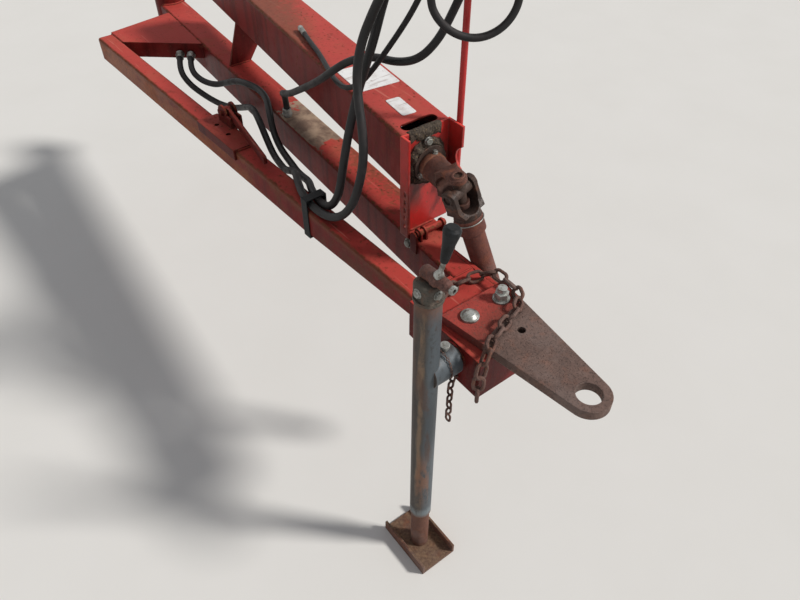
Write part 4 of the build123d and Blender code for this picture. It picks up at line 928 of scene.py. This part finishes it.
SHAFT_WAY = Vector((1.0, TUNNEL_SLOPE, 0.0)).normalized()
COLLAR_PLACE = BEARING_PLACE + SHAFT_WAY * 0.009
COLLAR_L, COLLAR_R, COLLAR_BORE_R, CHAMFER = 0.0165, 0.0315, 0.018, 0.002
mesh = bmesh.new()
turned(mesh, COLLAR_PLACE, SHAFT_WAY,
       [(0.0, COLLAR_BORE_R), (0.0, COLLAR_R - CHAMFER), (CHAMFER, COLLAR_R), (COLLAR_L - CHAMFER, COLLAR_R),
        (COLLAR_L, COLLAR_R - CHAMFER), (COLLAR_L, COLLAR_BORE_R)], closed=True)
collar_rust = rusted("collar_rust", rgb(70, 42, 32), rgb(146, 94, 70), orange=0.4, grease=0.45,
                     rubbed=rgb(176, 140, 116))
collar = finished("locking_collar", mesh, collar_rust, "drawbar")
for polygon in collar.data.polygons:
    polygon.use_smooth = abs(polygon.normal.dot(SHAFT_WAY)) < 0.3

mesh = bmesh.new()
middle = COLLAR_PLACE + SHAFT_WAY * COLLAR_L / 2
for lean in (-8.0, 112.0):
    out = Matrix.Rotation(math.radians(lean), 3, SHAFT_WAY) @ Vector((0, 0, 1))
    hex_bolt(mesh, middle + out * (COLLAR_R - 0.001), out,
             washer_r=0.0064, head_r=0.0056, tip_r=0.0047, shoulder=0.0068, height=0.0075)
FLANGE_BOLT_PLACE = Vector((1.6300, -0.0955, 0.2755))
hex_bolt(mesh, FLANGE_BOLT_PLACE, SHAFT_WAY,
         washer_r=0.0095, head_r=0.0082, tip_r=0.0068, shoulder=0.0072, height=0.0080)
finished("set_bolts", mesh, zinc, "drawbar", smooth=False)


# A light keeper chain ties the jack's pull pin to its ring, so that the pin isn't lost.
# A longer one of heavier links hangs free from the nose's side. Both are welded links of rusty wire.
def small_link(mesh, centre, along, side, length, width, wire):
    """One link of round wire: two half rings joined by straight sides."""
    steps = 20
    along = along.normalized()
    side = (side - side.dot(along) * along).normalized()
    out = along.cross(side)
    straight, bend = (length - width) / 2, width / 2 - wire
    rings = []
    for i in range(steps):
        angle = 2 * math.pi * i / steps
        shift = straight if math.cos(angle) > 0 else -straight
        spoke = math.cos(angle) * along + math.sin(angle) * side
        rings.append(circle(mesh, centre + shift * along + bend * spoke, wire, spoke, out, 8))
    skin(mesh, rings, closed=True)


def small_chain(name, body, path, length, width, wire):
    """Links along a path, each a quarter turn from the last."""
    mesh = bmesh.new()
    points = [Vector(point) for point in path]
    pitch = length - 2 * wire - 0.0003
    spans = [(b - a).length for a, b in zip(points, points[1:])]

    def at(distance):
        for (a, b), span in zip(zip(points, points[1:]), spans):
            if distance <= span:
                return a + (b - a) * (distance / span)
            distance -= span
        return points[-1] + (points[-1] - points[-2]).normalized() * distance

    for i in range(int(sum(spans) / pitch)):
        start, end = at(i * pitch), at((i + 1) * pitch)
        along = end - start
        side = along.orthogonal().normalized()
        side = Matrix.Rotation(math.radians(45 + 90 * (i % 2) + draw.uniform(-8, 8)), 3, along) @ side
        small_link(mesh, (start + end) / 2, along, side, length, width, wire)
    finished(name, mesh, chain_rust, body)


small_chain("keeper_chain_thin", "jack",
            [(1.9560, -0.3215, 0.0630), (1.9640, -0.3170, 0.0545), (1.9760, -0.3160, 0.0460),
             (1.9835, -0.3160, 0.0340), (1.9870, -0.3160, 0.0180), (1.9860, -0.3160, 0.0080)],
            length=0.0085, width=0.0056, wire=0.0008)


# Each chain hangs in a half ring of bent wire.
# The larger is welded to the nose's side, and the small one to the jack's ring.
def staple(name, body, seat, along, out, steps, wire):
    """A half ring of round wire: its ends stand along to both sides of the seat, its top out from it."""
    points = [seat + math.cos(a) * along + math.sin(a) * out
              for a in (math.pi * i / steps for i in range(steps + 1))]
    flat = (points[1] - points[0]).cross(points[-1] - points[1]).normalized()
    mesh = bmesh.new()
    rings = []
    for i, point in enumerate(points):
        way = (points[min(i + 1, steps)] - points[max(i - 1, 0)]).normalized()
        rings.append(circle(mesh, point, wire, flat.cross(way), flat, 12))
    skin(mesh, rings)
    caps(mesh, rings)
    finished(name, mesh, chain_rust, body)


staple("chain_staple", "drawbar", Vector((1.958, -0.2780, -0.0346)),
       along=Vector((0.0065, 0, 0)), out=Vector((0, -0.0065, 0)), steps=16, wire=0.0021)
staple("pin_chain_staple", "jack", Vector((1.9835, -0.3160, 0.0075)),
       along=Vector((0, 0.0030, 0)), out=Vector((0.0030, 0, 0)), steps=12, wire=0.0009)
small_chain("keeper_chain_hanging", "drawbar",
            [(1.9580, -0.2835, -0.0300), (1.9575, -0.2880, -0.0500), (1.9570, -0.2895, -0.0800),
             (1.9572, -0.2895, -0.1200), (1.9570, -0.2895, -0.1900)],
            length=0.027, width=0.017, wire=0.0025)

# The crank's grip is moulded black plastic, gone grey and chalky in the sun.
# The hose strap is black nylon webbing, drawn round the rail.
plastic, root, link = new_material("grip_plastic", Specular_IOR_Level=0.22)
fine = root.noise(180.0, detail=5.0)
edge, rounded = root.edges(0.002)
chalk = (0.5 * root.noise(24.0, detail=5.0) + 0.5 * fine).rise(0.42, 0.62)
link(Base_Color=chalk.mix(rgb(13, 14, 15), rgb(32, 35, 37)),
     Roughness=0.3 + 0.3 * fine + 0.1 * chalk,
     Normal=root.bump(fine, 0.0003, rounded))
for name in ("jack_grip", "hose_strap"):
    paint_node(name, plastic)
